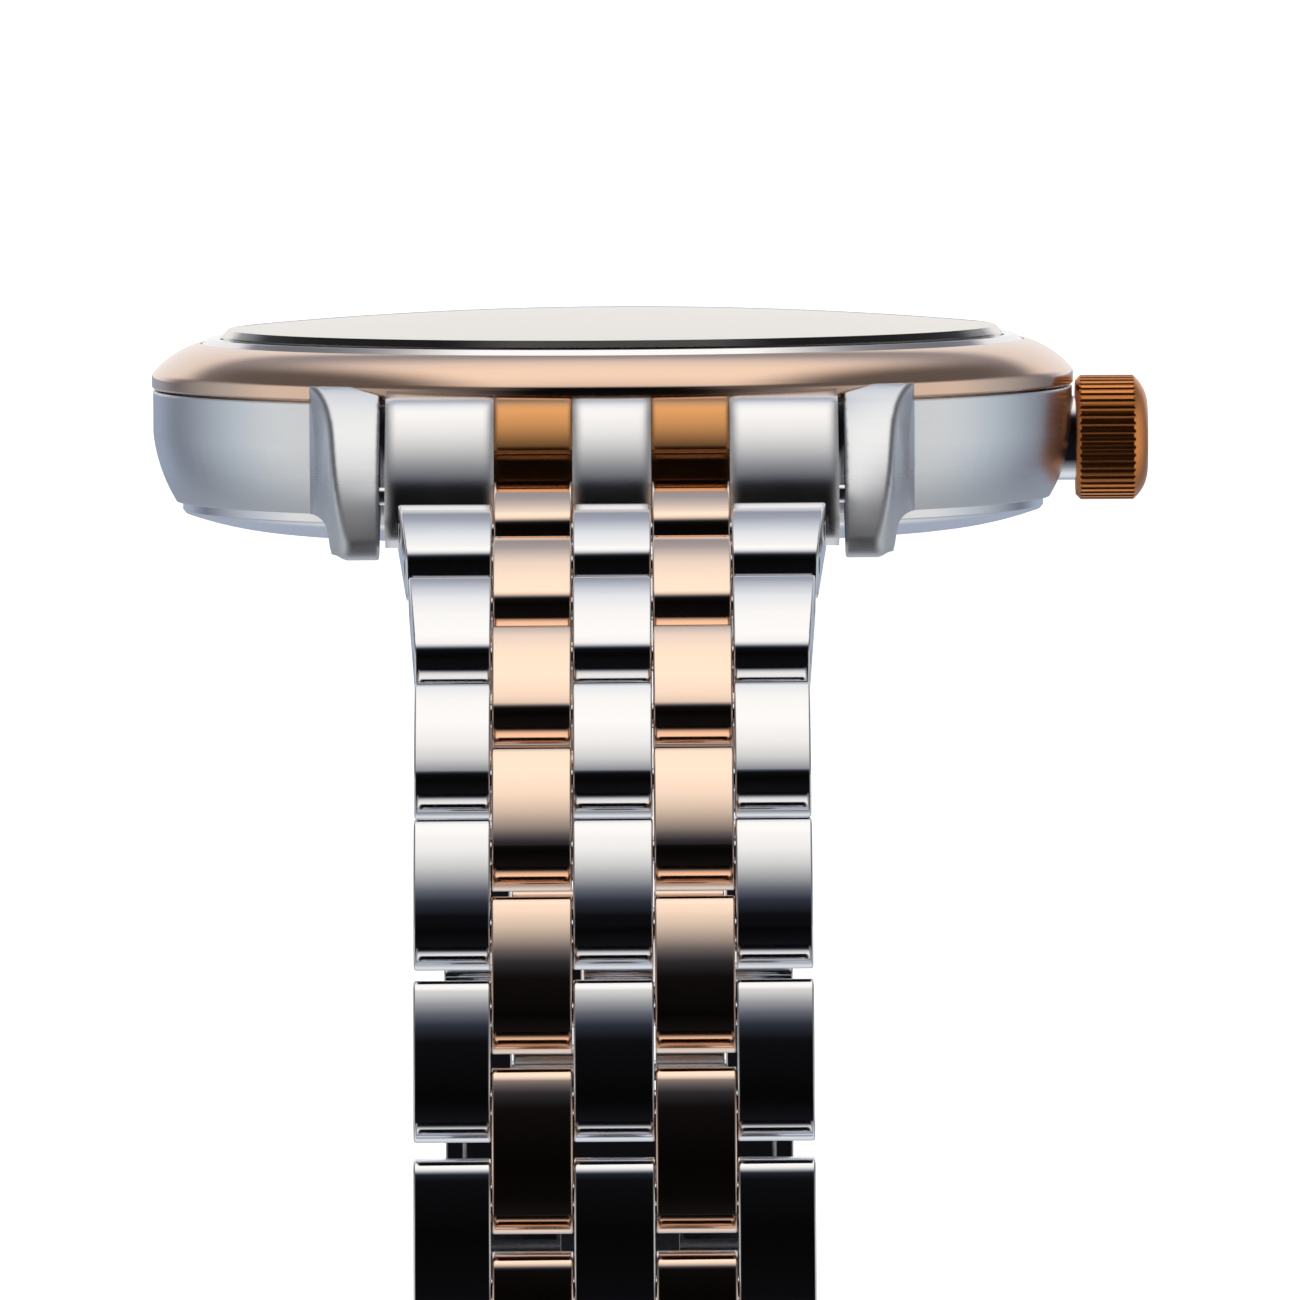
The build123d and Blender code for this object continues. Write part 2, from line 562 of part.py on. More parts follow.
def direction(start, end):
    """The bearing from one arbor to another, in degrees."""
    return degrees(atan2(end[1] - start[1], end[0] - start[0]))


def gear(teeth, module, tooth_towards=None, gap_towards=None):
    """A toothed wheel's outline with one tooth, or one gap, pointing along a bearing."""
    pitch_radius = teeth * module / 2
    step = 360 / teeth
    start = tooth_towards if tooth_towards is not None else gap_towards + step / 2
    corners = (
        (pitch_radius - TOOTH_DEDENDUM * module, -0.6), (pitch_radius, -0.5),
        (pitch_radius + TOOTH_ADDENDUM * module, -0.22), (pitch_radius + TOOTH_ADDENDUM * module, 0.22),
        (pitch_radius, 0.5), (pitch_radius - TOOTH_DEDENDUM * module, 0.6),
    )
    with BuildSketch(mode=Mode.PRIVATE) as outline:
        with BuildLine():
            Polyline(
                [
                    polar(radius, start + step * (tooth + share * TOOTH_WIDTH))
                    for tooth in range(teeth) for radius, share in corners
                ],
                close=True,
            )
        make_face()
    return outline.sketch


def toothed_disc(outline, at, bottom, thickness, rim=0.0, spokes=0):
    """Stand a toothed outline on its arbor; a wheel with a rim is opened between its spokes."""
    with BuildSketch(Plane.XY.offset(bottom)) as disc:
        with Locations(at):
            add(outline)
    extrude(disc.sketch, amount=thickness)
    if spokes:
        with BuildSketch(Plane.XY.offset(bottom)) as windows:
            with Locations(at):
                Circle(rim)
                Circle(rim * 0.3, mode=Mode.SUBTRACT)
                with PolarLocations(rim * 0.6, spokes):
                    Rectangle(rim * 1.1, rim * 0.2, mode=Mode.SUBTRACT)
        extrude(windows.sketch, amount=thickness, mode=Mode.SUBTRACT)


def arbor(at, bottom, top, radius=ARBOR_RADIUS):
    """A plain round shaft."""
    with BuildSketch(Plane.XY.offset(bottom)) as shaft:
        with Locations(at):
            Circle(radius)
    extrude(shaft.sketch, amount=top - bottom)


with BuildPart() as mainspring_barrel:
    arbor(BARREL_AT, 3.0, 4.3, 6.0)
    toothed_disc(
        gear(BARREL_TEETH, BARREL_MODULE, tooth_towards=direction(BARREL_AT, CENTRE_AT)), BARREL_AT, 3.95, 0.3
    )
    arbor(BARREL_AT, ARBOR_BOTTOM, ARBOR_TOP, BARREL_ARBOR_RADIUS)
save(mainspring_barrel, "mainspring_barrel")

with BuildPart() as centre_wheel:
    toothed_disc(
        gear(CENTRE_TEETH, CENTRE_MODULE, tooth_towards=direction(CENTRE_AT, THIRD_AT)),
        CENTRE_AT, 2.6, 0.2, rim=4.1, spokes=4,
    )
    toothed_disc(
        gear(CENTRE_PINION, BARREL_MODULE, gap_towards=direction(CENTRE_AT, BARREL_AT)), CENTRE_AT, 3.9, 0.4
    )
    arbor(CENTRE_AT, ARBOR_BOTTOM, MINUTE_HAND_Z)
save(centre_wheel, "centre_wheel")

with BuildPart() as third_wheel:
    toothed_disc(
        gear(THIRD_PINION, CENTRE_MODULE, gap_towards=direction(THIRD_AT, CENTRE_AT)), THIRD_AT, 2.55, 0.3
    )
    toothed_disc(
        gear(THIRD_TEETH, THIRD_MODULE, tooth_towards=direction(THIRD_AT, FOURTH_AT)),
        THIRD_AT, 3.2, 0.2, rim=3.3, spokes=4,
    )
    arbor(THIRD_AT, ARBOR_BOTTOM, ARBOR_TOP)
save(third_wheel, "third_wheel")

with BuildPart() as fourth_wheel:
    toothed_disc(
        gear(FOURTH_PINION, THIRD_MODULE, gap_towards=direction(FOURTH_AT, THIRD_AT)), FOURTH_AT, 3.15, 0.3
    )
    toothed_disc(
        gear(FOURTH_TEETH, FOURTH_MODULE, tooth_towards=direction(FOURTH_AT, ESCAPE_AT)),
        FOURTH_AT, 3.7, 0.2, rim=3.3, spokes=4,
    )
    arbor(FOURTH_AT, ARBOR_BOTTOM, SECONDS_HAND_Z)
save(fourth_wheel, "fourth_wheel")

with BuildPart() as escape_wheel:
    toothed_disc(
        gear(ESCAPE_PINION, FOURTH_MODULE, gap_towards=direction(ESCAPE_AT, FOURTH_AT)), ESCAPE_AT, 3.65, 0.3
    )
    with BuildSketch(Plane.XY.offset(3.1).move(Location(ESCAPE_AT))):
        with BuildLine():
            Polyline(
                [
                    polar(radius, 360 / ESCAPE_TEETH * (tooth + share))
                    for tooth in range(ESCAPE_TEETH)
                    for radius, share in ((1.55, -0.4), (ESCAPE_RADIUS, 0.0), (ESCAPE_RADIUS, 0.06), (1.55, 0.1))
                ],
                close=True,
            )
        make_face()
    extrude(amount=0.2)
    arbor(ESCAPE_AT, ARBOR_BOTTOM, ARBOR_TOP)
save(escape_wheel, "escape_wheel")

with BuildPart() as pallet_fork:
    # the anchor reaches round the escape wheel, the lever points at the balance staff
    lever_direction = (*polar(1, PALLET_DIRECTION), 0)
    with BuildSketch(Plane(origin=(*PALLET_AT, 3.1), x_dir=lever_direction, z_dir=(0, 0, 1))):
        with BuildLine():
            Polyline(
                (-1.05, 1.75), (-0.65, 1.9), (0.35, 0.35), (2.4, 0.14), (2.4, -0.14), (0.35, -0.35),
                (-0.65, -1.9), (-1.05, -1.75), (-0.3, -0.3), (-0.3, 0.3), (-1.05, 1.75),
            )
        make_face()
    extrude(amount=0.2)
    # its arbor stops above the balance, whose arms pass under it
    arbor(PALLET_AT, 3.05, ARBOR_TOP)
save(pallet_fork, "pallet_fork")

with BuildPart() as balance_wheel:
    with BuildSketch(Plane.XY.offset(2.6)):
        with Locations(BALANCE_AT):
            Circle(BALANCE_RADIUS)
            Circle(BALANCE_RADIUS - BALANCE_RIM, mode=Mode.SUBTRACT)
            Rectangle(2 * BALANCE_RADIUS - BALANCE_RIM, 0.5)
            Circle(0.6)
    extrude(amount=0.35)
    arbor(BALANCE_AT, 3.1, 3.4, 0.7)
    arbor(BALANCE_AT, ARBOR_BOTTOM, ARBOR_TOP)
save(balance_wheel, "balance_wheel")

pivot_hole = ARBOR_RADIUS + ARBOR_CLEARANCE
COCK_WIDTH = 3.0
COCK_SLOT = COCK_WIDTH + 0.2
COCK_FOOT = 14.0
cock_bearing = direction((0, 0), BALANCE_AT)
balance_reach = sqrt(BALANCE_AT[0] ** 2 + BALANCE_AT[1] ** 2)
cock_inner = balance_reach - COCK_WIDTH / 2


with BuildPart() as main_plate:
    with BuildSketch(Plane.XY.offset(PLATE_BOTTOM)):
        Circle(MOVEMENT_RADIUS)
        with Locations(CENTRE_AT, THIRD_AT, FOURTH_AT, ESCAPE_AT, PALLET_AT, BALANCE_AT):
            Circle(pivot_hole, mode=Mode.SUBTRACT)
        with Locations(BARREL_AT):
            Circle(BARREL_ARBOR_RADIUS + ARBOR_CLEARANCE, mode=Mode.SUBTRACT)
    extrude(amount=DIAL_BOTTOM - PLATE_BOTTOM)
    # room for the hour hand's pipe
    with BuildSketch(Plane.XY.offset(PLATE_BOTTOM + 0.4)):
        Circle(0.62)
    extrude(amount=1, mode=Mode.SUBTRACT)
save(main_plate, "main_plate")

with BuildPart() as train_bridge:
    with BuildSketch(Plane.XY.offset(BRIDGE_BOTTOM)):
        Circle(BRIDGE_RADIUS)
    extrude(amount=PLATE_BOTTOM - BRIDGE_BOTTOM)
    with BuildSketch(Plane.XY.offset(BRIDGE_BOTTOM + BRIDGE_THICKNESS)):
        Circle(BRIDGE_RADIUS - BRIDGE_RIM)
    extrude(amount=PLATE_BOTTOM - BRIDGE_BOTTOM, mode=Mode.SUBTRACT)
    with BuildSketch(Plane.XY.offset(BRIDGE_BOTTOM)):
        with Locations(CENTRE_AT, THIRD_AT, FOURTH_AT, ESCAPE_AT):
            Circle(pivot_hole)
        with Locations(BARREL_AT):
            Circle(BARREL_ARBOR_RADIUS + ARBOR_CLEARANCE)
    extrude(amount=BRIDGE_THICKNESS, mode=Mode.SUBTRACT)
    with BuildSketch(Plane.XY.offset(BRIDGE_BOTTOM)):
        with Locations(Location((*polar((cock_inner + BRIDGE_RADIUS) / 2, cock_bearing), 0), cock_bearing)):
            Rectangle(BRIDGE_RADIUS - cock_inner + 0.2, COCK_SLOT)
        with Locations(BALANCE_AT):
            Circle(COCK_SLOT / 2)
    extrude(amount=PLATE_BOTTOM - BRIDGE_BOTTOM, mode=Mode.SUBTRACT)
    with Locations(Location((BRIDGE_RADIUS - BRIDGE_RIM - 0.5, 0, CROWN_HEIGHT), (0, 90, 0))):
        Cylinder(
            STEM_RADIUS + 0.25, 3, align=(Align.CENTER, Align.CENTER, Align.MIN), mode=Mode.SUBTRACT
        )
save(train_bridge, "train_bridge")

with BuildPart() as balance_cock:
    with BuildSketch(Plane.XY.offset(BRIDGE_BOTTOM)):
        with Locations(
            Location((*polar((balance_reach + BRIDGE_RADIUS - 0.1) / 2, cock_bearing), 0), cock_bearing)
        ):
            Rectangle(BRIDGE_RADIUS - 0.1 - balance_reach, COCK_WIDTH)
        with Locations(BALANCE_AT):
            Circle(COCK_WIDTH / 2)
            Circle(pivot_hole, mode=Mode.SUBTRACT)
    extrude(amount=BRIDGE_THICKNESS)
    with BuildSketch(Plane.XY.offset(BRIDGE_BOTTOM)):
        with Locations(
            Location((*polar((COCK_FOOT + BRIDGE_RADIUS - 0.1) / 2, cock_bearing), 0), cock_bearing)
        ):
            Rectangle(BRIDGE_RADIUS - 0.1 - COCK_FOOT, COCK_WIDTH)
    extrude(amount=PLATE_BOTTOM - BRIDGE_BOTTOM)
save(balance_cock, "balance_cock")

# ---------------------------------------------------------------- bracelet links
LINK_HALF_LENGTH = (2 * HINGE_PITCH - LINK_GAP) / 2
GOLD_START = STRIP_PITCH / 2 + STRIP_SEAM / 2
GOLD_END = STRIP_PITCH * 1.5 - STRIP_SEAM / 2
OUTER_START = STRIP_PITCH * 1.5 + STRIP_SEAM / 2
CENTRE_HALF = STRIP_PITCH / 2 - STRIP_SEAM / 2
FACET_RUN = 0.33  # how far the flat end facet leans out below the shoulder
FACET_FOOT = -0.1


def link_outline():
    """Side view of one link: a shallow dome, a rounded shoulder at each end, a flat end facet and a
    rounded heel on the wrist side. First axis along the bracelet, second out of the domed face."""
    tilt = radians(LINK_SHOULDER_TILT)
    shoulder_end = LINK_HALF_LENGTH - FACET_RUN
    flat_end = (shoulder_end - LINK_SHOULDER_RADIUS * sin(tilt)) / (1 - LINK_SHOULDER_RADIUS / LINK_DOME_RADIUS)
    flat_tilt = asin(flat_end / LINK_DOME_RADIUS)
    flat_height = LINK_CROWN - LINK_DOME_RADIUS * (1 - cos(flat_tilt))
    centre_height = flat_height - LINK_SHOULDER_RADIUS * cos(flat_tilt)
    shoulder_height = centre_height + LINK_SHOULDER_RADIUS * cos(tilt)
    middle_tilt = (tilt + flat_tilt) / 2
    centre_along = flat_end - LINK_SHOULDER_RADIUS * sin(flat_tilt)
    middle = (
        centre_along + LINK_SHOULDER_RADIUS * sin(middle_tilt),
        centre_height + LINK_SHOULDER_RADIUS * cos(middle_tilt),
    )
    heel = LINK_HEEL_RADIUS
    with BuildLine() as outline:
        ThreePointArc((-flat_end, flat_height), (0, LINK_CROWN), (flat_end, flat_height))
        for side in (-1, 1):
            ThreePointArc(
                (side * flat_end, flat_height), (side * middle[0], middle[1]),
                (side * shoulder_end, shoulder_height),
            )
            Line((side * shoulder_end, shoulder_height), (side * LINK_HALF_LENGTH, FACET_FOOT))
            Line((side * LINK_HALF_LENGTH, FACET_FOOT), (side * LINK_HALF_LENGTH, heel - LINK_UNDERSIDE))
            ThreePointArc(
                (side * LINK_HALF_LENGTH, heel - LINK_UNDERSIDE),
                (side * (LINK_HALF_LENGTH - heel * (1 - sqrt(0.5))), -LINK_UNDERSIDE + heel * (1 - sqrt(0.5))),
                (side * (LINK_HALF_LENGTH - heel), -LINK_UNDERSIDE),
            )
        Line((-LINK_HALF_LENGTH + heel, -LINK_UNDERSIDE), (LINK_HALF_LENGTH - heel, -LINK_UNDERSIDE))
    make_face(outline.line)


def half_width(along):
    """Half the bracelet's width at a distance from the end link's pin."""
    share = min(max(along / TAPER_LENGTH, 0), 1)
    return BRACELET_LUG_HALF_WIDTH + (BRACELET_HALF_WIDTH - BRACELET_LUG_HALF_WIDTH) * share


def link_block(inner, outer_near, outer_far, bore_radius):
    """One link between two flanks, rounded along its outer edges and bored for its two pins. The outer
    flank runs from outer_near at the end nearer the case to outer_far."""
    with BuildPart() as block:
        with BuildSketch(Plane.YZ.offset(inner)):
            link_outline()
        extrude(amount=max(outer_near, outer_far) - inner)
        reach = LINK_HALF_LENGTH + 0.1
        if outer_near != outer_far:
            with BuildSketch(Plane.XY.offset(-LINK_UNDERSIDE - 0.1)):
                with BuildLine():
                    Polyline(
                        (inner, -reach), (outer_near, -reach), (outer_far, reach), (inner, reach),
                        close=True,
                    )
                make_face()
            extrude(amount=LINK_UNDERSIDE + LINK_CROWN + 0.2, mode=Mode.INTERSECT)
        rims = block.edges().filter_by(lambda e: abs(e.center().X - (inner + outer_near) / 2) > 0.8)
        fillet(rims, LINK_EDGE_ROUND)
        with BuildSketch(Plane.YZ.offset(inner - 0.1)):
            with Locations((-HINGE_PITCH / 2, 0), (HINGE_PITCH / 2, 0)):
                Circle(bore_radius)
        extrude(amount=max(outer_near, outer_far) - inner + 0.2, mode=Mode.SUBTRACT)
    return block.part


def steel_row(near, far):
    """A steel row: centre link, two outer links and the two pins pressed through them."""
    press = PIN_RADIUS + PIN_PRESS_CLEARANCE
    outer = link_block(OUTER_START, near, far, press)
    with BuildPart() as row:
        add(link_block(-CENTRE_HALF, CENTRE_HALF, CENTRE_HALF, press))
        add(outer)
        add(mirror(outer, about=Plane.YZ, mode=Mode.PRIVATE))
        pin_length = 2 * (min(near, far) - PIN_END_RECESS)
        with BuildSketch(Plane.YZ.offset(-pin_length / 2)):
            with Locations((-HINGE_PITCH / 2, 0), (HINGE_PITCH / 2, 0)):
                Circle(PIN_RADIUS)
        extrude(amount=pin_length)
    return row.part


with BuildPart() as gold_pair:
    gold_link = link_block(GOLD_START, GOLD_END, GOLD_END, PIN_RADIUS + PIN_TURN_CLEARANCE)
    add(gold_link)
    add(mirror(gold_link, about=Plane.YZ, mode=Mode.PRIVATE))

steel_rows = {}
for number in range(1, max(ROWS_6, ROWS_12) + 1):
    start = (2 * number - 1) * HINGE_PITCH + HINGE_PITCH / 2 - LINK_HALF_LENGTH
    near, far = half_width(start), half_width(start + 2 * LINK_HALF_LENGTH)
    steel_rows[number] = steel_row(near, far) if near != far or number == 1 else steel_rows.get("straight")
    if steel_rows[number] is None:
        steel_rows["straight"] = steel_rows[number] = steel_row(near, far)

for clock, half, rows in ((6, -1, ROWS_6), (12, 1, ROWS_12)):
    for number in range(1, rows + 1):
        with BuildPart() as gold_row:
            with Locations(link_location(half, 2 * number - 2)):
                add(gold_pair.part)
        save(gold_row, f"gold_row_{clock}_{number}")
        with BuildPart() as steel_row_placed:
            with Locations(link_location(half, 2 * number - 1)):
                add(steel_rows[number])
        save(steel_row_placed, f"steel_row_{clock}_{number}")

# ---------------------------------------------------------------- end links and spring bars
SWING = 1.72  # the first gold row's heel turns inside this radius about its pin
END_LINK_FLOOR = 0.35


def end_link_arc():
    """The end link's top: nearly level beside the bezel, then a straight slope that rolls over at its nose."""
    FilletPolyline(
        (END_LINK_BACK, END_LINK_BACK_TOP), (END_LINK_START + 1.1, END_LINK_TOP - 0.18),
        (END_LINK_NOSE - 0.6, END_LINK_NOSE_HEIGHT + 1.05), (END_LINK_NOSE, END_LINK_NOSE_HEIGHT),
        radius=END_LINK_ROLL,
    )


def end_link(half):
    """The steel end link: one body with slots for the gold inserts and bores for its pin and bar."""
    with BuildPart() as body:
        with BuildSketch(side_plane(half, -half * END_LINK_HALF_WIDTH)):
            with BuildLine():
                end_link_arc()
                tip = FIRST_PIN_REACH + LINK_HALF_LENGTH - HINGE_PITCH / 2
                Line((END_LINK_NOSE, END_LINK_NOSE_HEIGHT), (tip, FIRST_PIN_HEIGHT - 0.4))
                ThreePointArc(
                    (tip, FIRST_PIN_HEIGHT - 0.4), (tip - 0.3, FIRST_PIN_HEIGHT - 0.95),
                    (tip - 1.0, FIRST_PIN_HEIGHT - 1.25),
                )
                Polyline(
                    (tip - 1.0, FIRST_PIN_HEIGHT - 1.25), (FIRST_PIN_REACH - 0.9, END_LINK_FLOOR),
                    (FIRST_PIN_REACH - 3.7, END_LINK_FLOOR),
                    (END_LINK_BACK, 2.6), (END_LINK_BACK, END_LINK_BACK_TOP),
                )
            make_face()
        extrude(amount=2 * END_LINK_HALF_WIDTH)
        # the back follows the case, and stands clear of the bezel above it
        with BuildSketch(Plane.XY.offset(-1)):
            Circle(CASE_RADIUS + CASE_CLEARANCE)
        extrude(amount=CASE_TOP + 1, mode=Mode.SUBTRACT)
        with BuildSketch(Plane.XY.offset(CASE_TOP - 0.3)):
            Circle(BEZEL_RADIUS + LUG_TOP_CLEARANCE)
        extrude(amount=2, mode=Mode.SUBTRACT)
        # slots for the gold inserts, open in front for the first gold row
        for side in (-1, 1):
            with BuildSketch(side_plane(half, side * (GOLD_START + GOLD_END) / 2)):
                with BuildLine():
                    Polyline(
                        (END_LINK_BACK, 5.4), (INSERT_WALL_FRONT - INSERT_WALL, 4.25),
                        (INSERT_WALL_FRONT - INSERT_WALL, -0.5), (END_LINK_NOSE + 1.65, -0.5),
                        (END_LINK_NOSE + 1.65, END_LINK_BACK_TOP + 1), (END_LINK_BACK, END_LINK_BACK_TOP + 1),
                        close=True,
                    )
                make_face()
            extrude(amount=(GOLD_END - GOLD_START) / 2 + STRIP_SEAM / 2, both=True, mode=Mode.SUBTRACT)
        with Locations(Location((0, half * FIRST_PIN_REACH, FIRST_PIN_HEIGHT), (0, 90, 0))):
            Cylinder(PIN_RADIUS + PIN_PRESS_CLEARANCE, 22, mode=Mode.SUBTRACT)
        with Locations(Location((0, half * SPRING_BAR_REACH, SPRING_BAR_HEIGHT), (0, 90, 0))):
            Cylinder(SPRING_BAR_RADIUS + SPRING_BAR_CLEARANCE, 22, mode=Mode.SUBTRACT)
        with Locations(Location((0, half * FIRST_PIN_REACH, FIRST_PIN_HEIGHT), (0, 90, 0))):
            Cylinder(PIN_RADIUS, 2 * (END_LINK_HALF_WIDTH - PIN_END_RECESS))
    return body


for clock, half in ((6, -1), (12, 1)):
    save(end_link(half), f"end_link_{clock}")

with BuildPart() as end_link_inserts:
    for half in (-1, 1):
        for side in (-1, 1):
            with BuildSketch(side_plane(half, side * (GOLD_START + GOLD_END) / 2)):
                with BuildLine():
                    end_link_arc()
                    Polyline(
                        (END_LINK_NOSE, END_LINK_NOSE_HEIGHT), (INSERT_WALL_FRONT, END_LINK_NOSE_HEIGHT),
                        (INSERT_WALL_FRONT, 1.0), (INSERT_WALL_FRONT - INSERT_WALL, 1.0),
                        (INSERT_WALL_FRONT - INSERT_WALL, 4.28), (END_LINK_BACK, 5.43),
                        (END_LINK_BACK, END_LINK_BACK_TOP),
                    )
                make_face()
            extrude(amount=(GOLD_END - GOLD_START) / 2, both=True)
            # cut the toe back above the first gold row
            with BuildSketch(side_plane(half, side * (GOLD_START + GOLD_END) / 2)):
                with BuildLine():
                    Polyline(
                        (END_LINK_NOSE + 1.65, INSERT_FOOT_HEIGHT), (FIRST_PIN_REACH - 1.0, INSERT_FOOT_HEIGHT),
                        (FIRST_PIN_REACH - 1.3, INSERT_FOOT_HEIGHT - 0.3),
                        (INSERT_WALL_FRONT, INSERT_FOOT_HEIGHT - 0.4), (INSERT_WALL_FRONT, 0.0),
                        (END_LINK_NOSE + 1.65, 0.0), close=True,
                    )
                make_face()
            extrude(amount=STRIP_PITCH / 2, both=True, mode=Mode.SUBTRACT)
    with BuildSketch(Plane.XY.offset(CASE_TOP - 0.3)):
        Circle(BEZEL_RADIUS + LUG_TOP_CLEARANCE)
    extrude(amount=3, mode=Mode.SUBTRACT)
    with BuildSketch(Plane.XY.offset(0)):
        Circle(CASE_RADIUS + CASE_CLEARANCE)
    extrude(amount=CASE_TOP, mode=Mode.SUBTRACT)
save(end_link_inserts, "end_link_inserts")

with BuildPart() as spring_bars:
    for half in (-1, 1):
        with Locations(Location((0, half * SPRING_BAR_REACH, SPRING_BAR_HEIGHT), (0, 90, 0))):
            Cylinder(SPRING_BAR_RADIUS, LUG_GAP - 0.6)
            Cylinder(SPRING_BAR_TIP_RADIUS, LUG_GAP + 2 * SPRING_BAR_TIP)
save(spring_bars, "spring_bars")

# ---------------------------------------------------------------- clasp
# The clasp carries on along the bracelet's arc from the last steel row's lower pin.
ARC_RADIUS = HINGE_PITCH / 2 / sin(radians(DRAPE_STEP / 2))
last_links = 2 * ROWS_12
last_reach, last_height = drape_point(last_links)
last_tangent = DRAPE_START + DRAPE_STEP * (last_links - 0.5)


def clasp_plane(x):
    """The clasp's side view: origin at the last pin, first axis along the arc there, second outwards."""
    slope = radians(last_tangent)
    return Plane(origin=(x, last_reach, last_height), x_dir=(0, cos(slope), -sin(slope)), z_dir=(1, 0, 0))


def on_arc(along, height):
    """A point a distance along the pins' arc and a height above it, in the clasp's side view."""
    angle = along / ARC_RADIUS
    return ((ARC_RADIUS + height) * sin(angle), (ARC_RADIUS + height) * cos(angle) - ARC_RADIUS)


def arc_band(start, end, bottom, top):
    """A strip of even thickness that follows the arc."""
    middle = (start + end) / 2
    with BuildLine() as outline:
        ThreePointArc(on_arc(start, top), on_arc(middle, top), on_arc(end, top))
        Line(on_arc(end, top), on_arc(end, bottom))
        ThreePointArc(on_arc(end, bottom), on_arc(middle, bottom), on_arc(start, bottom))
        Line(on_arc(start, bottom), on_arc(start, top))
    make_face(outline.line)


COVER_START = LINK_HALF_LENGTH - HINGE_PITCH / 2 + 0.5
COVER_END = COVER_START + COVER_LENGTH
FAR_HINGE = on_arc(COVER_END - 1.1, -0.5)
FOLD_HINGE = on_arc(COVER_START + CLASP_FOLD_START, -1.75)
BLADE_HALF = BRACELET_HALF_WIDTH - COVER_WALL - BLADE_SIDE_CLEARANCE
KNUCKLE_INNER = GOLD_START + 0.02
KNUCKLE_OUTER = GOLD_END - 0.02


def bored(points, radius, width, x=0.0):
    """Drill across the clasp at points of its side view."""
    with BuildSketch(clasp_plane(x - width / 2)) as holes:
        with Locations(*points):
            Circle(radius)
    extrude(holes.sketch, amount=width, mode=Mode.SUBTRACT)


with BuildPart() as clasp_cover:
    with BuildSketch(clasp_plane(-BRACELET_HALF_WIDTH)):
        arc_band(COVER_START, COVER_END, COVER_PLATE_TOP - COVER_PLATE, COVER_PLATE_TOP)
    extrude(amount=2 * BRACELET_HALF_WIDTH)
    for x in (-BRACELET_HALF_WIDTH, BRACELET_HALF_WIDTH - COVER_WALL):
        with BuildSketch(clasp_plane(x)):
            arc_band(COVER_START, COVER_END, COVER_WALL_BOTTOM, COVER_PLATE_TOP)
        extrude(amount=COVER_WALL)
    long_rims = clasp_cover.edges().filter_by(
        lambda e: abs(abs(e.center().X) - BRACELET_HALF_WIDTH) < 1e-3 and e.length > COVER_LENGTH * 0.9
    )
    fillet(long_rims.sort_by(lambda e: e.length)[-2:], 0.4)
    # knuckles that run between the last row's steel links
    for inner in (-KNUCKLE_OUTER, KNUCKLE_INNER):
        with BuildSketch(clasp_plane(inner)):
            Circle(COVER_PLATE_TOP - 0.15)
            arc_band(0, COVER_START + 0.3, COVER_PLATE_TOP - COVER_PLATE, COVER_PLATE_TOP - 0.15)
            Circle(PIN_RADIUS + PIN_TURN_CLEARANCE, mode=Mode.SUBTRACT)
        extrude(amount=KNUCKLE_OUTER - KNUCKLE_INNER)
    bored([FAR_HINGE], CLASP_PIN_RADIUS + PIN_PRESS_CLEARANCE, 20)
    with BuildSketch(clasp_plane(-BRACELET_HALF_WIDTH + PIN_END_RECESS)):
        with Locations(FAR_HINGE):
            Circle(CLASP_PIN_RADIUS)
    extrude(amount=2 * (BRACELET_HALF_WIDTH - PIN_END_RECESS))
save(clasp_cover, "clasp_cover")

MIDDLE_KNUCKLE = 3.0
with BuildPart() as clasp_outer_blade:
    plate_low, plate_high = OUTER_BLADE_HEIGHT - BLADE_PLATE / 2, OUTER_BLADE_HEIGHT + BLADE_PLATE / 2
    fold_along = COVER_START + CLASP_FOLD_START
    with BuildSketch(clasp_plane(-BLADE_HALF)):
        arc_band(fold_along, COVER_END - 1.1, plate_low, plate_high)
        with Locations(FAR_HINGE):
            Circle(CLASP_KNUCKLE_RADIUS)
    extrude(amount=2 * BLADE_HALF)
    # the fold hinge's pin runs through two cheeks
    for inner in (-BLADE_HALF, MIDDLE_KNUCKLE):
        with BuildSketch(clasp_plane(inner)):
            with Locations(FOLD_HINGE):
                Circle(CLASP_KNUCKLE_RADIUS)
            with BuildLine():
                Polyline(
                    on_arc(fold_along - 0.5, plate_low + 0.05), on_arc(fold_along + 2.0, plate_low + 0.05),
                    (FOLD_HINGE[0] + 0.9, FOLD_HINGE[1]), (FOLD_HINGE[0] - 0.9, FOLD_HINGE[1]), close=True,
                )
            make_face()
        extrude(amount=BLADE_HALF - MIDDLE_KNUCKLE)
    bored([FAR_HINGE], CLASP_PIN_RADIUS + PIN_TURN_CLEARANCE, 20)
    bored([FOLD_HINGE], CLASP_PIN_RADIUS + PIN_PRESS_CLEARANCE, 20)
    with BuildSketch(clasp_plane(-BLADE_HALF)):
        with Locations(FOLD_HINGE):
            Circle(CLASP_PIN_RADIUS)
    extrude(amount=2 * BLADE_HALF)
save(clasp_outer_blade, "clasp_outer_blade")

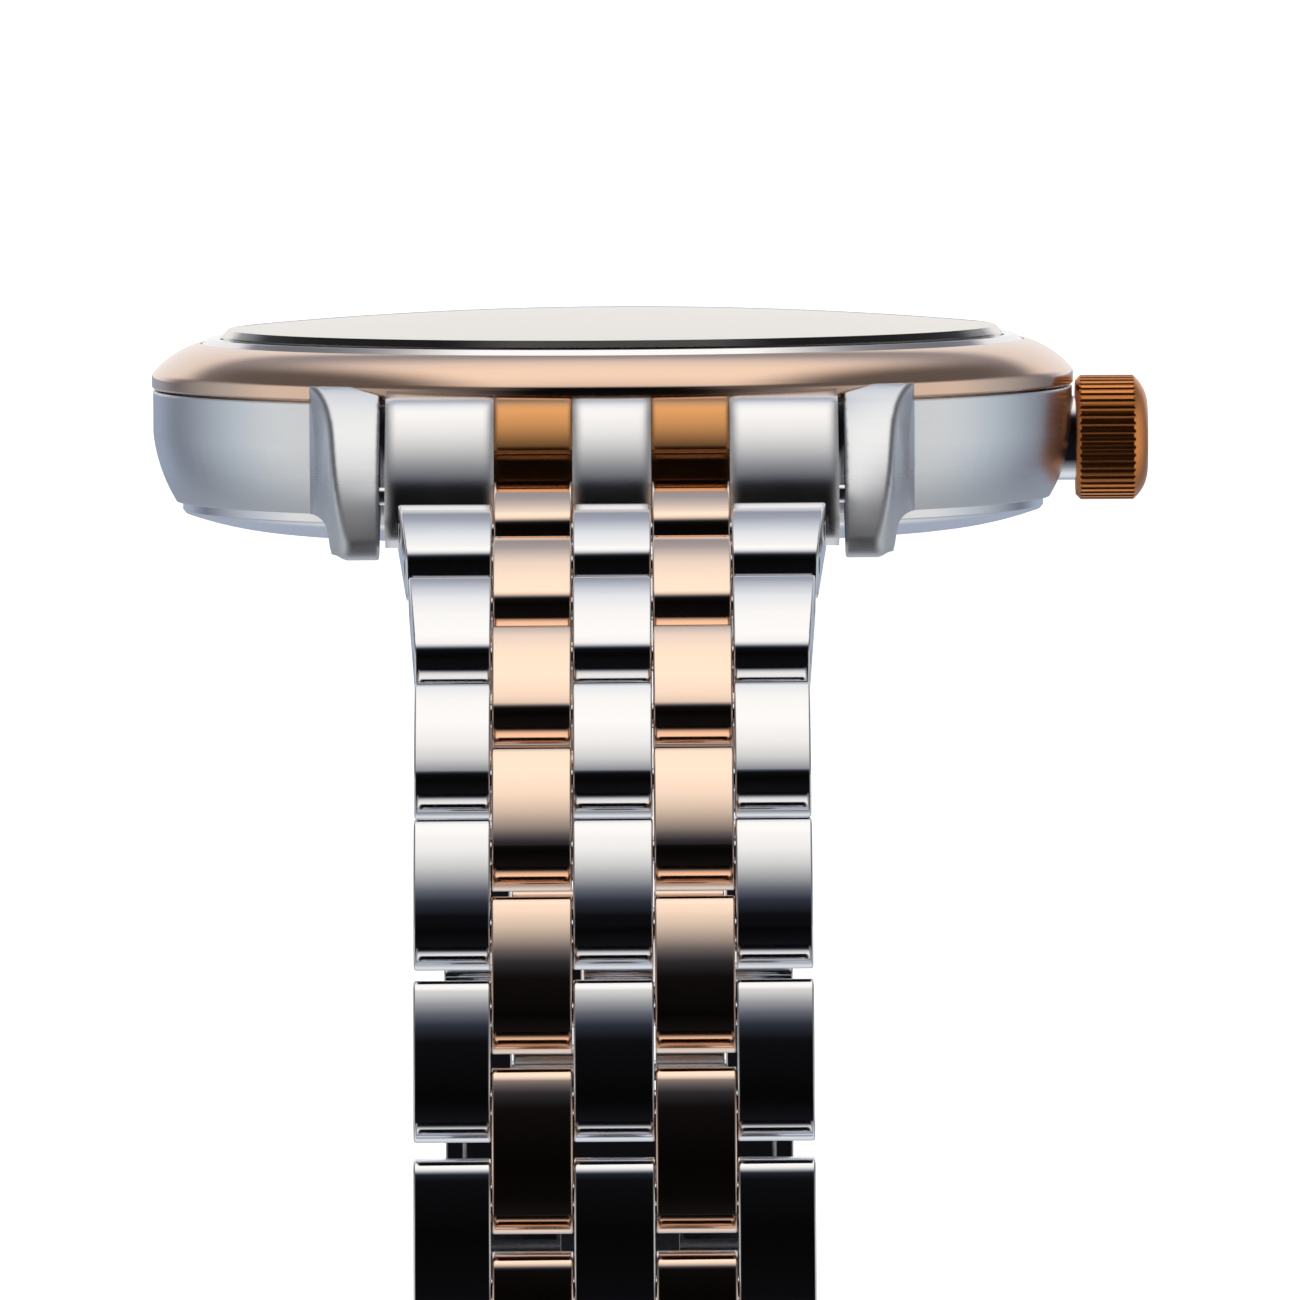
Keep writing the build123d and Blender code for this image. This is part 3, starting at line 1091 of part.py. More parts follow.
with BuildPart() as clasp_inner_blade:
    free_along = COVER_END - INNER_BLADE_SHORTFALL
    free_bore = on_arc(free_along, INNER_BLADE_HEIGHT - 0.1)
    cheek = MIDDLE_KNUCKLE - BLADE_SIDE_CLEARANCE
    with BuildSketch(clasp_plane(-BLADE_HALF)):
        arc_band(
            fold_along + 2.4, free_along, INNER_BLADE_HEIGHT - BLADE_PLATE / 2,
            INNER_BLADE_HEIGHT + BLADE_PLATE / 2,
        )
    extrude(amount=2 * BLADE_HALF)
    with BuildSketch(clasp_plane(-cheek)):
        with Locations(FOLD_HINGE):
            Circle(CLASP_KNUCKLE_RADIUS - 0.1)
        arc_band(
            fold_along, fold_along + 2.8, INNER_BLADE_HEIGHT - BLADE_PLATE / 2,
            INNER_BLADE_HEIGHT + BLADE_PLATE / 2,
        )
    extrude(amount=2 * cheek)
    for inner in (-KNUCKLE_OUTER, KNUCKLE_INNER):
        with BuildSketch(clasp_plane(inner)):
            with Locations(free_bore):
                Circle(CLASP_KNUCKLE_RADIUS)
        extrude(amount=KNUCKLE_OUTER - KNUCKLE_INNER)
    bored([FOLD_HINGE], CLASP_PIN_RADIUS + PIN_TURN_CLEARANCE, 20)
    bored([free_bore], PIN_RADIUS + PIN_TURN_CLEARANCE, 20)
save(clasp_inner_blade, "clasp_inner_blade")
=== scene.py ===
"""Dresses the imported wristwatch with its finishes, and sets it on a pale stage under a studio light."""

import json
import math

import bmesh
import bpy
from mathutils import Euler, Matrix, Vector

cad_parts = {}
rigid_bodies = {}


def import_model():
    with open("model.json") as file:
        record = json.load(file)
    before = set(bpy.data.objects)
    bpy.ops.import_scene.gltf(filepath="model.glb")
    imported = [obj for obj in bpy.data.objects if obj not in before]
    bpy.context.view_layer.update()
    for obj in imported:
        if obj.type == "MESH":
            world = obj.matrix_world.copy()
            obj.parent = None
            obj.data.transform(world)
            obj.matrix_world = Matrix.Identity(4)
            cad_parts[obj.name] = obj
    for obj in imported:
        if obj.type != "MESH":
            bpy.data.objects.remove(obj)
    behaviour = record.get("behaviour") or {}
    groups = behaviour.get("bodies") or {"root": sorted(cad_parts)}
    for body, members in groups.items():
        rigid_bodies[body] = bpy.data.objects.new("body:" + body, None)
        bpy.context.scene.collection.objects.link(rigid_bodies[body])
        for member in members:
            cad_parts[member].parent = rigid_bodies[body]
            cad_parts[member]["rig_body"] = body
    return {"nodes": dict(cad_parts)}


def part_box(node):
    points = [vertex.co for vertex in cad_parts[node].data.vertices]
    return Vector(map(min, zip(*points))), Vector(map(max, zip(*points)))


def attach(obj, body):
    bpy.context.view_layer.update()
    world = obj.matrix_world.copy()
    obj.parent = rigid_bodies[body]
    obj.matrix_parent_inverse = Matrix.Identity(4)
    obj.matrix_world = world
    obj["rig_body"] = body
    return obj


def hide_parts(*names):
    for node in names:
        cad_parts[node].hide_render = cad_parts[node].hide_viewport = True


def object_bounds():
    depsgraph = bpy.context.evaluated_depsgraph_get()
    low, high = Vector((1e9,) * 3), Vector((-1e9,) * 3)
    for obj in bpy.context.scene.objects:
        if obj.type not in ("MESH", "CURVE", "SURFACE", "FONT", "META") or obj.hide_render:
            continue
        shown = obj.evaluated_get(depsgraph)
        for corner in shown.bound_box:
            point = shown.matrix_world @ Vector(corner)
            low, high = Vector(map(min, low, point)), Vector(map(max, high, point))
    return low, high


bl_info = {
    "name": "Two-tone wristwatch",
    "version": (1, 0, 0),
    "blender": (4, 5, 0),
    "location": "3D View > Sidebar > Watch",
    "description": "Finishes and stage for a packed two-tone wristwatch",
    "category": "Object",
}

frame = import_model()
nodes = frame["nodes"]
CAD_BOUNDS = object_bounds()
MM = 0.001

DIAL_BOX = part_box("dial")
DIAL_TOP = DIAL_BOX[1].z
DIAL_RADIUS = DIAL_BOX[1].x


# ---------------------------------------------------------------- settings
class WatchFinishes(bpy.types.PropertyGroup):
    """Colours of the watch's finishes."""

    steel: bpy.props.StringProperty(name="Steel", description="Stainless steel, sRGB hex", default="#ECECEE")
    satin: bpy.props.StringProperty(
        name="Satin steel", description="Satin stainless steel, sRGB hex", default="#E2E4E8"
    )
    gold: bpy.props.StringProperty(
        name="Rose gold", description="Rose gold plating, sRGB hex", default="#F7DBC6"
    )
    bezel_gold: bpy.props.StringProperty(
        name="Bezel rose gold", description="Rose gold plating of the bezel, sRGB hex", default="#E6C6B0"
    )
    # The inserts' rose gold, made deeper and darker than the rows' gold: partly the plating's own colour,
    # partly painted reflection and shade, standing in for the light the gold pieces throw onto each other
    deep_gold_painted_reflection: bpy.props.StringProperty(
        name="Deep rose gold", description="Rose gold of the end links' inserts, sRGB hex", default="#D59860"
    )
    crown_gold: bpy.props.StringProperty(
        name="Crown rose gold", description="Brushed rose gold of the crown, sRGB hex", default="#E3904F"
    )
    dial: bpy.props.StringProperty(name="Dial", description="Silvered dial, sRGB hex", default="#EDEAE3")
    seal: bpy.props.StringProperty(
        name="Seal", description="Black nitrile gaskets, sRGB hex", default="#101012"
    )
    brass: bpy.props.StringProperty(
        name="Movement brass", description="Plated brass, sRGB hex", default="#D9C08C"
    )


class WatchStage(bpy.types.PropertyGroup):
    """The camera and the studio round the watch."""

    distance: bpy.props.FloatProperty(
        name="Camera distance", description="From the watch's axis", default=0.79963, unit="LENGTH"
    )
    height: bpy.props.FloatProperty(
        name="Camera height", description="Above the case back", default=0.03725, unit="LENGTH"
    )
    offset: bpy.props.FloatProperty(
        name="Camera offset", description="Towards three o'clock", default=0.0016, unit="LENGTH"
    )
    pitch: bpy.props.FloatProperty(
        name="Camera pitch", description="Below level", default=math.radians(3.055), subtype="ANGLE"
    )
    roll: bpy.props.FloatProperty(
        name="Camera roll", description="Lifts the crown's side", default=math.radians(0.35), subtype="ANGLE"
    )
    focal: bpy.props.FloatProperty(
        name="Focal length", description="On a 36 mm sensor, in mm", default=497.65
    )
    light: bpy.props.FloatProperty(name="Light", description="Strength of the studio", default=1.0)


# ---------------------------------------------------------------- node helpers
def linear(code):
    """An sRGB hex colour as linear RGBA."""
    parts = [int(code[i:i + 2], 16) / 255 for i in (1, 3, 5)]
    return (*[c / 12.92 if c <= 0.04045 else ((c + 0.055) / 1.055) ** 2.4 for c in parts], 1.0)


def put(tree, kind, values=None, links=None, stops=(), **settings):
    """Add one node: settings are its properties, values its unlinked inputs, links its linked inputs, and
    stops a colour ramp's (position, RGBA)."""
    node = tree.nodes.new(kind)
    for key, value in settings.items():
        setattr(node, key, value)
    for key, value in (values or {}).items():
        node.inputs[key].default_value = value
    for key, socket in (links or {}).items():
        tree.links.new(socket, node.inputs[key])
    if stops:
        elements = node.color_ramp.elements
        elements.remove(elements[-1])
        for index, (position, colour) in enumerate(stops):
            element = elements[0] if index == 0 else elements.new(position)
            element.position = position
            element.color = colour
    return node


def new_material(name):
    """A node material and its empty node tree."""
    material = bpy.data.materials.new(name)
    material.use_nodes = True
    material.node_tree.nodes.clear()
    return material, material.node_tree


# ---------------------------------------------------------------- finishes
# A pattern's scale is worked out from how often it repeats in a millimetre.

# How many rays look for an edge that is rounded off in the render
EDGE_SAMPLES = 6


def crowned(tree, place, normal, heights, lean):
    """A normal leaning outwards along the bracelet, by nothing at the first height (mm) and by lean at the
    second: a face that the wheel has crowned."""
    split = put(tree, "ShaderNodeSeparateXYZ", links={"Vector": place.outputs["Object"]})
    amount = put(
        tree, "ShaderNodeMapRange",
        {"From Min": heights[1] * MM, "From Max": heights[0] * MM, "To Min": lean, "To Max": 0.0},
        {"Value": split.outputs["Z"]},
    )
    away = put(tree, "ShaderNodeMath", links={0: split.outputs["Y"]}, operation="SIGN")
    push = put(tree, "ShaderNodeMath", links={0: amount.outputs[0], 1: away.outputs[0]}, operation="MULTIPLY")
    shift = put(tree, "ShaderNodeCombineXYZ", links={"Y": push.outputs[0]})
    total = put(tree, "ShaderNodeVectorMath", links={0: normal, 1: shift.outputs[0]}, operation="ADD")
    unit = put(tree, "ShaderNodeVectorMath", links={0: total.outputs[0]}, operation="NORMALIZE")
    return unit.outputs[0]


def polished_metal(name, code, roughness, rounding=0.05, crown=None):
    """Mirror polish from a buffing wheel: clear reflections, with faint hairlines and a slight haze that
    varies by a few hundredths from handling. The wheel rounds the edges by rounding mm; crown gives crowned()
    its heights and lean."""
    material, tree = new_material(name)
    place = put(tree, "ShaderNodeTexCoord")
    haze = put(
        tree, "ShaderNodeTexNoise", {"Scale": 0.18 / MM, "Detail": 3.0}, {"Vector": place.outputs["Object"]}
    )
    rough = put(
        tree, "ShaderNodeMapRange", {"To Min": roughness * 0.7, "To Max": roughness * 1.4},
        {"Value": haze.outputs["Fac"]},
    )
    # 14 hairlines in a millimetre, each 2 mm long, drawn along the bracelet
    stretch = put(
        tree, "ShaderNodeMapping", {"Scale": (14 / MM, 0.5 / MM, 0.5 / MM)},
        {"Vector": place.outputs["Object"]},
    )
    hairs = put(
        tree, "ShaderNodeTexNoise", {"Scale": 1.0, "Detail": 2.0}, {"Vector": stretch.outputs["Vector"]}
    )
    edge = put(tree, "ShaderNodeBevel", {"Radius": rounding * MM}, samples=EDGE_SAMPLES)
    bump = put(
        tree, "ShaderNodeBump", {"Strength": 0.012, "Distance": 0.01 * MM},
        {"Height": hairs.outputs["Fac"], "Normal": edge.outputs["Normal"]},
    )
    normal = crowned(tree, place, bump.outputs["Normal"], *crown) if crown else bump.outputs["Normal"]
    shader = put(
        tree, "ShaderNodeBsdfPrincipled", {"Base Color": linear(code), "Metallic": 1.0},
        {"Roughness": rough.outputs["Result"], "Normal": normal},
    )
    put(tree, "ShaderNodeOutputMaterial", links={"Surface": shader.outputs[0]})
    return material


def satin_metal(name, code, roughness, grain, depth=0.2, rounding=0.05, matt=None):
    """Satin from a fine abrasive belt: a soft reflection spread across the grain. grain gives how often the
    pattern repeats in a millimetre along X, Y and Z, so the scratches run along its smallest figure. The belt
    leaves low places duller: matt gives the heights (mm) where that starts and ends, and the roughness added
    there."""
    material, tree = new_material(name)
    place = put(tree, "ShaderNodeTexCoord")
    stretch = put(
        tree, "ShaderNodeMapping", {"Scale": [count / MM for count in grain]},
        {"Vector": place.outputs["Object"]},
    )
    lines = put(
        tree, "ShaderNodeTexNoise", {"Scale": 1.0, "Detail": 4.0}, {"Vector": stretch.outputs["Vector"]}
    )
    rough = put(
        tree, "ShaderNodeMapRange", {"To Min": roughness * 0.8, "To Max": roughness * 1.25},
        {"Value": lines.outputs["Fac"]},
    )
    finish = rough.outputs["Result"]
    if matt:
        start, end, extra = matt
        split = put(tree, "ShaderNodeSeparateXYZ", links={"Vector": place.outputs["Object"]})
        duller = put(
            tree, "ShaderNodeMapRange",
            {"From Min": end * MM, "From Max": start * MM, "To Min": extra, "To Max": 0.0},
            {"Value": split.outputs["Z"]}, interpolation_type="SMOOTHSTEP",
        )
        total = put(tree, "ShaderNodeMath", links={0: finish, 1: duller.outputs[0]}, operation="ADD")
        finish = total.outputs[0]
    edge = put(tree, "ShaderNodeBevel", {"Radius": rounding * MM}, samples=EDGE_SAMPLES)
    bump = put(
        tree, "ShaderNodeBump", {"Strength": depth, "Distance": 0.01 * MM},
        {"Height": lines.outputs["Fac"], "Normal": edge.outputs["Normal"]},
    )
    shader = put(
        tree, "ShaderNodeBsdfPrincipled", {"Base Color": linear(code), "Metallic": 1.0},
        {"Roughness": finish, "Normal": bump.outputs["Normal"]},
    )
    put(tree, "ShaderNodeOutputMaterial", links={"Surface": shader.outputs[0]})
    return material


def turned_metal(name, code, roughness):
    """Turned or ring-grained metal: fine grooves round the watch's axis, 0.15 mm apart."""
    material, tree = new_material(name)
    place = put(tree, "ShaderNodeTexCoord")
    # a wave's scale is about a third of the number of its grooves in a millimetre
    rings = put(
        tree, "ShaderNodeTexWave", {"Scale": 2.1 / MM, "Distortion": 0.6, "Detail": 2.0},
        {"Vector": place.outputs["Object"]}, wave_type="RINGS", rings_direction="Z",
    )
    bump = put(
        tree, "ShaderNodeBump", {"Strength": 0.15, "Distance": 0.01 * MM}, {"Height": rings.outputs["Fac"]}
    )
    rough = put(
        tree, "ShaderNodeMapRange", {"To Min": roughness * 0.8, "To Max": roughness * 1.2},
        {"Value": rings.outputs["Fac"]},
    )
    shader = put(
        tree, "ShaderNodeBsdfPrincipled", {"Base Color": linear(code), "Metallic": 1.0},
        {"Roughness": rough.outputs["Result"], "Normal": bump.outputs["Normal"]},
    )
    put(tree, "ShaderNodeOutputMaterial", links={"Surface": shader.outputs[0]})
    return material


def sapphire(name):
    """Polished synthetic sapphire with an anti-reflective coat: clear and bright, IOR 1.77."""
    material, tree = new_material(name)
    place = put(tree, "ShaderNodeTexCoord")
    # smears about a centimetre wide
    smear = put(
        tree, "ShaderNodeTexNoise", {"Scale": 0.09 / MM, "Detail": 2.0}, {"Vector": place.outputs["Object"]}
    )
    rough = put(tree, "ShaderNodeMapRange", {"To Min": 0.0, "To Max": 0.03}, {"Value": smear.outputs["Fac"]})
    clear = put(
        tree, "ShaderNodeBsdfPrincipled",
        {"Base Color": linear("#FBFBFA"), "Transmission Weight": 1.0, "IOR": 1.77},
        {"Roughness": rough.outputs["Result"]},
    )
    # along the surface the coat reflects nearly everything
    sheen = put(tree, "ShaderNodeBsdfAnisotropic", {"Color": linear("#F1EDE8"), "Roughness": 0.05})
    slant = put(tree, "ShaderNodeLayerWeight", {"Blend": 0.5})
    share = put(
        tree, "ShaderNodeValToRGB", links={"Fac": slant.outputs["Facing"]},
        stops=[(0.76, (0.0, 0.0, 0.0, 1.0)), (0.85, (0.96, 0.96, 0.96, 1.0))],
    )
    seen = put(
        tree, "ShaderNodeMixShader",
        links={0: share.outputs["Color"], 1: clear.outputs[0], 2: sheen.outputs[0]},
    )
    # light falls through to the dial
    path = put(tree, "ShaderNodeLightPath")
    inward = put(
        tree, "ShaderNodeMath",
        links={0: path.outputs["Is Shadow Ray"], 1: path.outputs["Is Diffuse Ray"]}, operation="MAXIMUM",
    )
    through = put(tree, "ShaderNodeBsdfTransparent")
    shader = put(
        tree, "ShaderNodeMixShader", links={0: inward.outputs[0], 1: seen.outputs[0], 2: through.outputs[0]}
    )
    put(tree, "ShaderNodeOutputMaterial", links={"Surface": shader.outputs[0]})
    return material


def silvered_dial(name, code):
    """Silvered brass under clear lacquer, brushed in rays from the middle."""
    material, tree = new_material(name)
    place = put(tree, "ShaderNodeTexCoord")
    split = put(tree, "ShaderNodeSeparateXYZ", links={"Vector": place.outputs["Object"]})
    bearing = put(
        tree, "ShaderNodeMath", links={0: split.outputs["Y"], 1: split.outputs["X"]}, operation="ARCTAN2"
    )
    # one ray to a degree, which is 0.3 mm at the dial's rim
    rays = put(
        tree, "ShaderNodeTexNoise", {"Scale": 60.0, "Detail": 4.0}, {"W": bearing.outputs[0]},
        noise_dimensions="1D",
    )
    colour = put(
        tree, "ShaderNodeValToRGB", links={"Fac": rays.outputs["Fac"]},
        stops=[(0.3, linear("#D9D6CE")), (0.7, linear(code))],
    )
    rough = put(tree, "ShaderNodeMapRange", {"To Min": 0.28, "To Max": 0.42}, {"Value": rays.outputs["Fac"]})
    shader = put(
        tree, "ShaderNodeBsdfPrincipled", {"Metallic": 0.55, "Coat Weight": 0.4, "Coat Roughness": 0.08},
        {"Base Color": colour.outputs["Color"], "Roughness": rough.outputs["Result"]},
    )
    put(tree, "ShaderNodeOutputMaterial", links={"Surface": shader.outputs[0]})
    return material


def moulded_rubber(name, code):
    """Moulded nitrile: black, with a faint grain of 0.1 mm."""
    material, tree = new_material(name)
    place = put(tree, "ShaderNodeTexCoord")
    grain = put(
        tree, "ShaderNodeTexNoise", {"Scale": 10 / MM, "Detail": 2.0}, {"Vector": place.outputs["Object"]}
    )
    bump = put(
        tree, "ShaderNodeBump", {"Strength": 0.2, "Distance": 0.02 * MM}, {"Height": grain.outputs["Fac"]}
    )
    shader = put(
        tree, "ShaderNodeBsdfPrincipled", {"Base Color": linear(code), "Roughness": 0.5},
        {"Normal": bump.outputs["Normal"]},
    )
    put(tree, "ShaderNodeOutputMaterial", links={"Surface": shader.outputs[0]})
    return material


def blued_print(name):
    """Dark printing ink on the dial, very slightly uneven in patches of 0.25 mm."""
    material, tree = new_material(name)
    place = put(tree, "ShaderNodeTexCoord")
    patches = put(tree, "ShaderNodeTexNoise", {"Scale": 4 / MM}, {"Vector": place.outputs["Object"]})
    rough = put(
        tree, "ShaderNodeMapRange", {"To Min": 0.35, "To Max": 0.55}, {"Value": patches.outputs["Fac"]}
    )
    shader = put(
        tree, "ShaderNodeBsdfPrincipled", {"Base Color": linear("#23252B")},
        {"Roughness": rough.outputs["Result"]},
    )
    put(tree, "ShaderNodeOutputMaterial", links={"Surface": shader.outputs[0]})
    return material


def pale_floor(name):
    """Matt white studio paper, its fibres in flocks of 2.5 mm."""
    material, tree = new_material(name)
    place = put(tree, "ShaderNodeTexCoord")
    fibre = put(tree, "ShaderNodeTexNoise", {"Scale": 0.4 / MM}, {"Vector": place.outputs["Object"]})
    colour = put(
        tree, "ShaderNodeValToRGB", links={"Fac": fibre.outputs["Fac"]},
        stops=[(0.0, linear("#FAFAFA")), (1.0, linear("#FFFFFF"))],
    )
    shader = put(
        tree, "ShaderNodeBsdfPrincipled",
        {"Roughness": 0.9, "Emission Color": (1, 1, 1, 1), "Emission Strength": 0.8},
        {"Base Color": colour.outputs["Color"]},
    )
    put(tree, "ShaderNodeOutputMaterial", links={"Surface": shader.outputs[0]})
    return material


# Heights (mm) between which a face leans outwards, and how far: for crowned()
END_LINK_CROWN = ((6.2, 2.4), 0.62)
INSERT_CROWN = ((6.4, 4.2), 0.6)
# Heights (mm) over which the case's flank and lugs grow duller, and the roughness added
CASE_MATT = (3.6, 0.4, 0.32)


# ---------------------------------------------------------------- dressing CAD nodes
# Edges that turn by less are smooth, on CAD nodes and on turned pieces
SMOOTH_ANGLE = math.radians(36)
TURNED_SMOOTH_ANGLE = math.radians(20)
SPIN_STEPS = 360
# Corners nearer to each other than this are one
WELD = 0.0002 * MM


def dressed(node_name, material):
    """A merged, smooth-shaded copy of a CAD node in the same place, shown instead of the faceted one."""
    source = nodes[node_name]
    mesh = source.data.copy()
    mesh.name = node_name + "_finish"
    mesh.materials.clear()
    mesh.materials.append(material)
    if "custom_normal" in mesh.attributes:
        mesh.attributes.remove(mesh.attributes["custom_normal"])
    shape = bmesh.new()
    shape.from_mesh(mesh)
    bmesh.ops.remove_doubles(shape, verts=shape.verts, dist=WELD)
    for face in shape.faces:
        face.smooth = True
    for edge in shape.edges:
        edge.smooth = edge.is_manifold and edge.calc_face_angle(0.0) < SMOOTH_ANGLE
    shape.to_mesh(mesh)
    shape.free()
    piece = bpy.data.objects.new(node_name + "_finish", mesh)
    bpy.context.scene.collection.objects.link(piece)
    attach(piece, source["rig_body"])
    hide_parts(node_name)
    return piece


def spun(node_name, outline, material):
    """A round piece of the head turned finely from its outline (radius, height), shown instead of the CAD
    node."""
    shape = bmesh.new()
    verts = [shape.verts.new((radius, 0, height)) for radius, height in outline]
    # an edge that lies on the axis sweeps nothing
    pairs = zip(verts, verts[1:] + verts[:1])
    edges = [shape.edges.new(pair) for pair in pairs if max(end.co.x for end in pair) > 0]
    bmesh.ops.spin(
        shape, geom=verts + edges, cent=(0, 0, 0), axis=(0, 0, 1), angle=math.tau, steps=SPIN_STEPS,
        use_merge=True,
    )
    bmesh.ops.remove_doubles(shape, verts=shape.verts, dist=WELD)
    bmesh.ops.recalc_face_normals(shape, faces=shape.faces)
    for face in shape.faces:
        face.smooth = True
    for edge in shape.edges:
        edge.smooth = edge.is_manifold and edge.calc_face_angle(0.0) < TURNED_SMOOTH_ANGLE
    mesh = bpy.data.meshes.new(node_name + "_finish")
    shape.to_mesh(mesh)
    shape.free()
    mesh.materials.append(material)
    piece = bpy.data.objects.new(node_name + "_finish", mesh)
    bpy.context.scene.collection.objects.link(piece)
    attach(piece, "head")
    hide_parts(node_name)
    return piece


def arc_points(start, middle, end, steps):
    """Points along the circle through three (radius, height) points, the first and last included."""
    (ax, ay), (bx, by), (cx, cy) = start, middle, end
    double = 2 * (ax * (by - cy) + bx * (cy - ay) + cx * (ay - by))
    a2, b2, c2 = ax * ax + ay * ay, bx * bx + by * by, cx * cx + cy * cy
    x = (a2 * (by - cy) + b2 * (cy - ay) + c2 * (ay - by)) / double
    y = (a2 * (cx - bx) + b2 * (ax - cx) + c2 * (bx - ax)) / double
    radius = math.hypot(ax - x, ay - y)
    first, last = math.atan2(ay - y, ax - x), math.atan2(cy - y, cx - x)
    if last - first > math.pi:
        last -= math.tau
    elif first - last > math.pi:
        last += math.tau
    turns = [first + (last - first) * i / steps for i in range(steps + 1)]
    return [(x + radius * math.cos(turn), y + radius * math.sin(turn)) for turn in turns]


# The bezel's section, inwards from its band and down from its top
BEZEL_SLOPE_MIDDLE = (1.05 * MM, 0.47 * MM)
BEZEL_SLOPE_END = (0.12 * MM, 1.25 * MM)
BEZEL_ROLL_MIDDLE = (0.03 * MM, 1.38 * MM)
BEZEL_ROLL_END = (0.0, 1.55 * MM)
# The bezel's gap to the crystal's ring, how far its foot stands in and how far the band hangs above the seat
BEZEL_GAP = 0.03 * MM
BEZEL_FOOT = 1.0 * MM
BEZEL_HANG = 0.1 * MM
EDGE_BREAK = 0.08 * MM


def bezel_outline():
    """The bezel's section: a slope rolling into an upright band."""
    low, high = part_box("bezel")
    radius, top, seat = high.y, high.z, low.z
    inner, foot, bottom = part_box("crystal_ring")[1].y + BEZEL_GAP, radius - BEZEL_FOOT, seat + BEZEL_HANG
    slope_middle, slope_end, roll_middle, roll_end = (
        (radius - inwards, top - down)
        for inwards, down in (BEZEL_SLOPE_MIDDLE, BEZEL_SLOPE_END, BEZEL_ROLL_MIDDLE, BEZEL_ROLL_END)
    )
    return [
        *arc_points((inner, top), slope_middle, slope_end, steps=14),
        *arc_points(slope_end, roll_middle, roll_end, steps=5)[1:],
        (radius, bottom + EDGE_BREAK), (radius - EDGE_BREAK, bottom), (foot, bottom), (foot, seat),
        (inner, seat),
    ]


RING_BEVEL = (0.36 * MM, 0.3 * MM)


def ring_outline():
    """The crystal's steel ring, bevelled outside and with its inner edge broken."""
    low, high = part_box("crystal_ring")
    radius, top, seat = high.y, high.z, low.z
    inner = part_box("crystal_gasket")[1].y
    return [
        (inner, seat), (inner, top - EDGE_BREAK), (inner + EDGE_BREAK, top), (radius - RING_BEVEL[0], top),
        (radius, top - RING_BEVEL[1]), (radius, seat),
    ]


DOME_STEPS = 24
# The crystal's bevel, its dome's rise, its flat rim underneath and the hollow's depth
CRYSTAL_BEVEL = (0.25 * MM, 0.3 * MM)
CRYSTAL_RISE = 0.8 * MM
CRYSTAL_RIM = 0.9 * MM
CRYSTAL_HOLLOW = 0.6 * MM


def crystal_outline():
    """The domed crystal's section with its bevelled edge; it meets the axis above and underneath."""
    low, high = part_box("crystal")
    radius, top, seat = high.y, high.z, low.z
    edge, edge_top = radius - CRYSTAL_BEVEL[0], top - CRYSTAL_RISE
    under_edge, under_top = radius - CRYSTAL_RIM, seat + CRYSTAL_HOLLOW
    dome = arc_points((edge, edge_top), (0, top), (-edge, edge_top), steps=2 * DOME_STEPS)
    hollow = arc_points((-under_edge, seat), (0, under_top), (under_edge, seat), steps=2 * DOME_STEPS)
    return [
        *dome[:DOME_STEPS], (0, top), (0, under_top), *hollow[DOME_STEPS + 1:], (radius, seat),
        (radius, edge_top - CRYSTAL_BEVEL[1]),
    ]


def dress(names, material):
    """Dress several nodes with one finish."""
    for name in names:
        dressed(name, material)


def named(*starts):
    """CAD nodes whose names begin with any of these."""
    return sorted(name for name in nodes if name.startswith(starts))


class WATCH_OT_case(bpy.types.Operator):
    """Finish the case, its back and the crown"""

    bl_idname = "watch.case"
    bl_label = "Case"

    def execute(self, context):
        look = context.scene.watch_finishes
        flank = satin_metal(
            "satin_stainless_steel", look.satin, roughness=0.24, grain=(0.3, 0.3, 9.0), depth=0.05,
            rounding=0.2, matt=CASE_MATT,
        )
        dress(["case_middle"], flank)
        dress(["case_back"], turned_metal("turned_stainless_steel", look.steel, roughness=0.16))
        ring = polished_metal("polished_steel_ring", look.steel, roughness=0.04)
        spun("crystal_ring", ring_outline(), ring)
        dress(["crown_tube"], ring)
        plating = polished_metal("polished_rose_gold_bezel", look.bezel_gold, roughness=0.13)
        spun("bezel", bezel_outline(), plating)
        flutes = satin_metal(
            "satin_rose_gold", look.crown_gold, roughness=0.3, grain=(9.0, 0.9, 0.9), depth=0.1
        )
        dress(["crown"], flutes)
        dress(["crystal_gasket", "back_gasket"], moulded_rubber("black_nitrile", look.seal))
        spun("crystal", crystal_outline(), sapphire("coated_sapphire"))
        return {"FINISHED"}


# The printed tracks, in metres: the centre's Y, the outer radius, a mark's length and width, and its height
MINUTE_TRACK = (0.0, DIAL_RADIUS - 0.75 * MM, 0.5 * MM, 0.1 * MM, DIAL_TOP)
SECONDS_TRACK = (-7.6 * MM, 3.3 * MM, 0.3 * MM, 0.07 * MM, DIAL_TOP - 0.1 * MM)
# Every fifth mark is longer by this factor
LONG_MARK = 1.7
# The ink's middle stands this high over the dial, and it is this thick
INK_RISE, INK_THICKNESS = 0.01 * MM, 0.02 * MM


def printed_track(shape, centre_y, radius, length, width, height):
    """Add the sixty marks of one track to a bmesh."""
    for minute in range(60):
        long = LONG_MARK if minute % 5 == 0 else 1.0
        turn = Matrix.Rotation(math.tau * minute / 60, 4, "Z")
        place = (
            Matrix.Translation((0, centre_y, height + INK_RISE)) @ turn
            @ Matrix.Translation((radius - length * long / 2, 0, 0))
            @ Matrix.Diagonal((length * long, width, INK_THICKNESS, 1))
        )
        bmesh.ops.create_cube(shape, size=1.0, matrix=place)


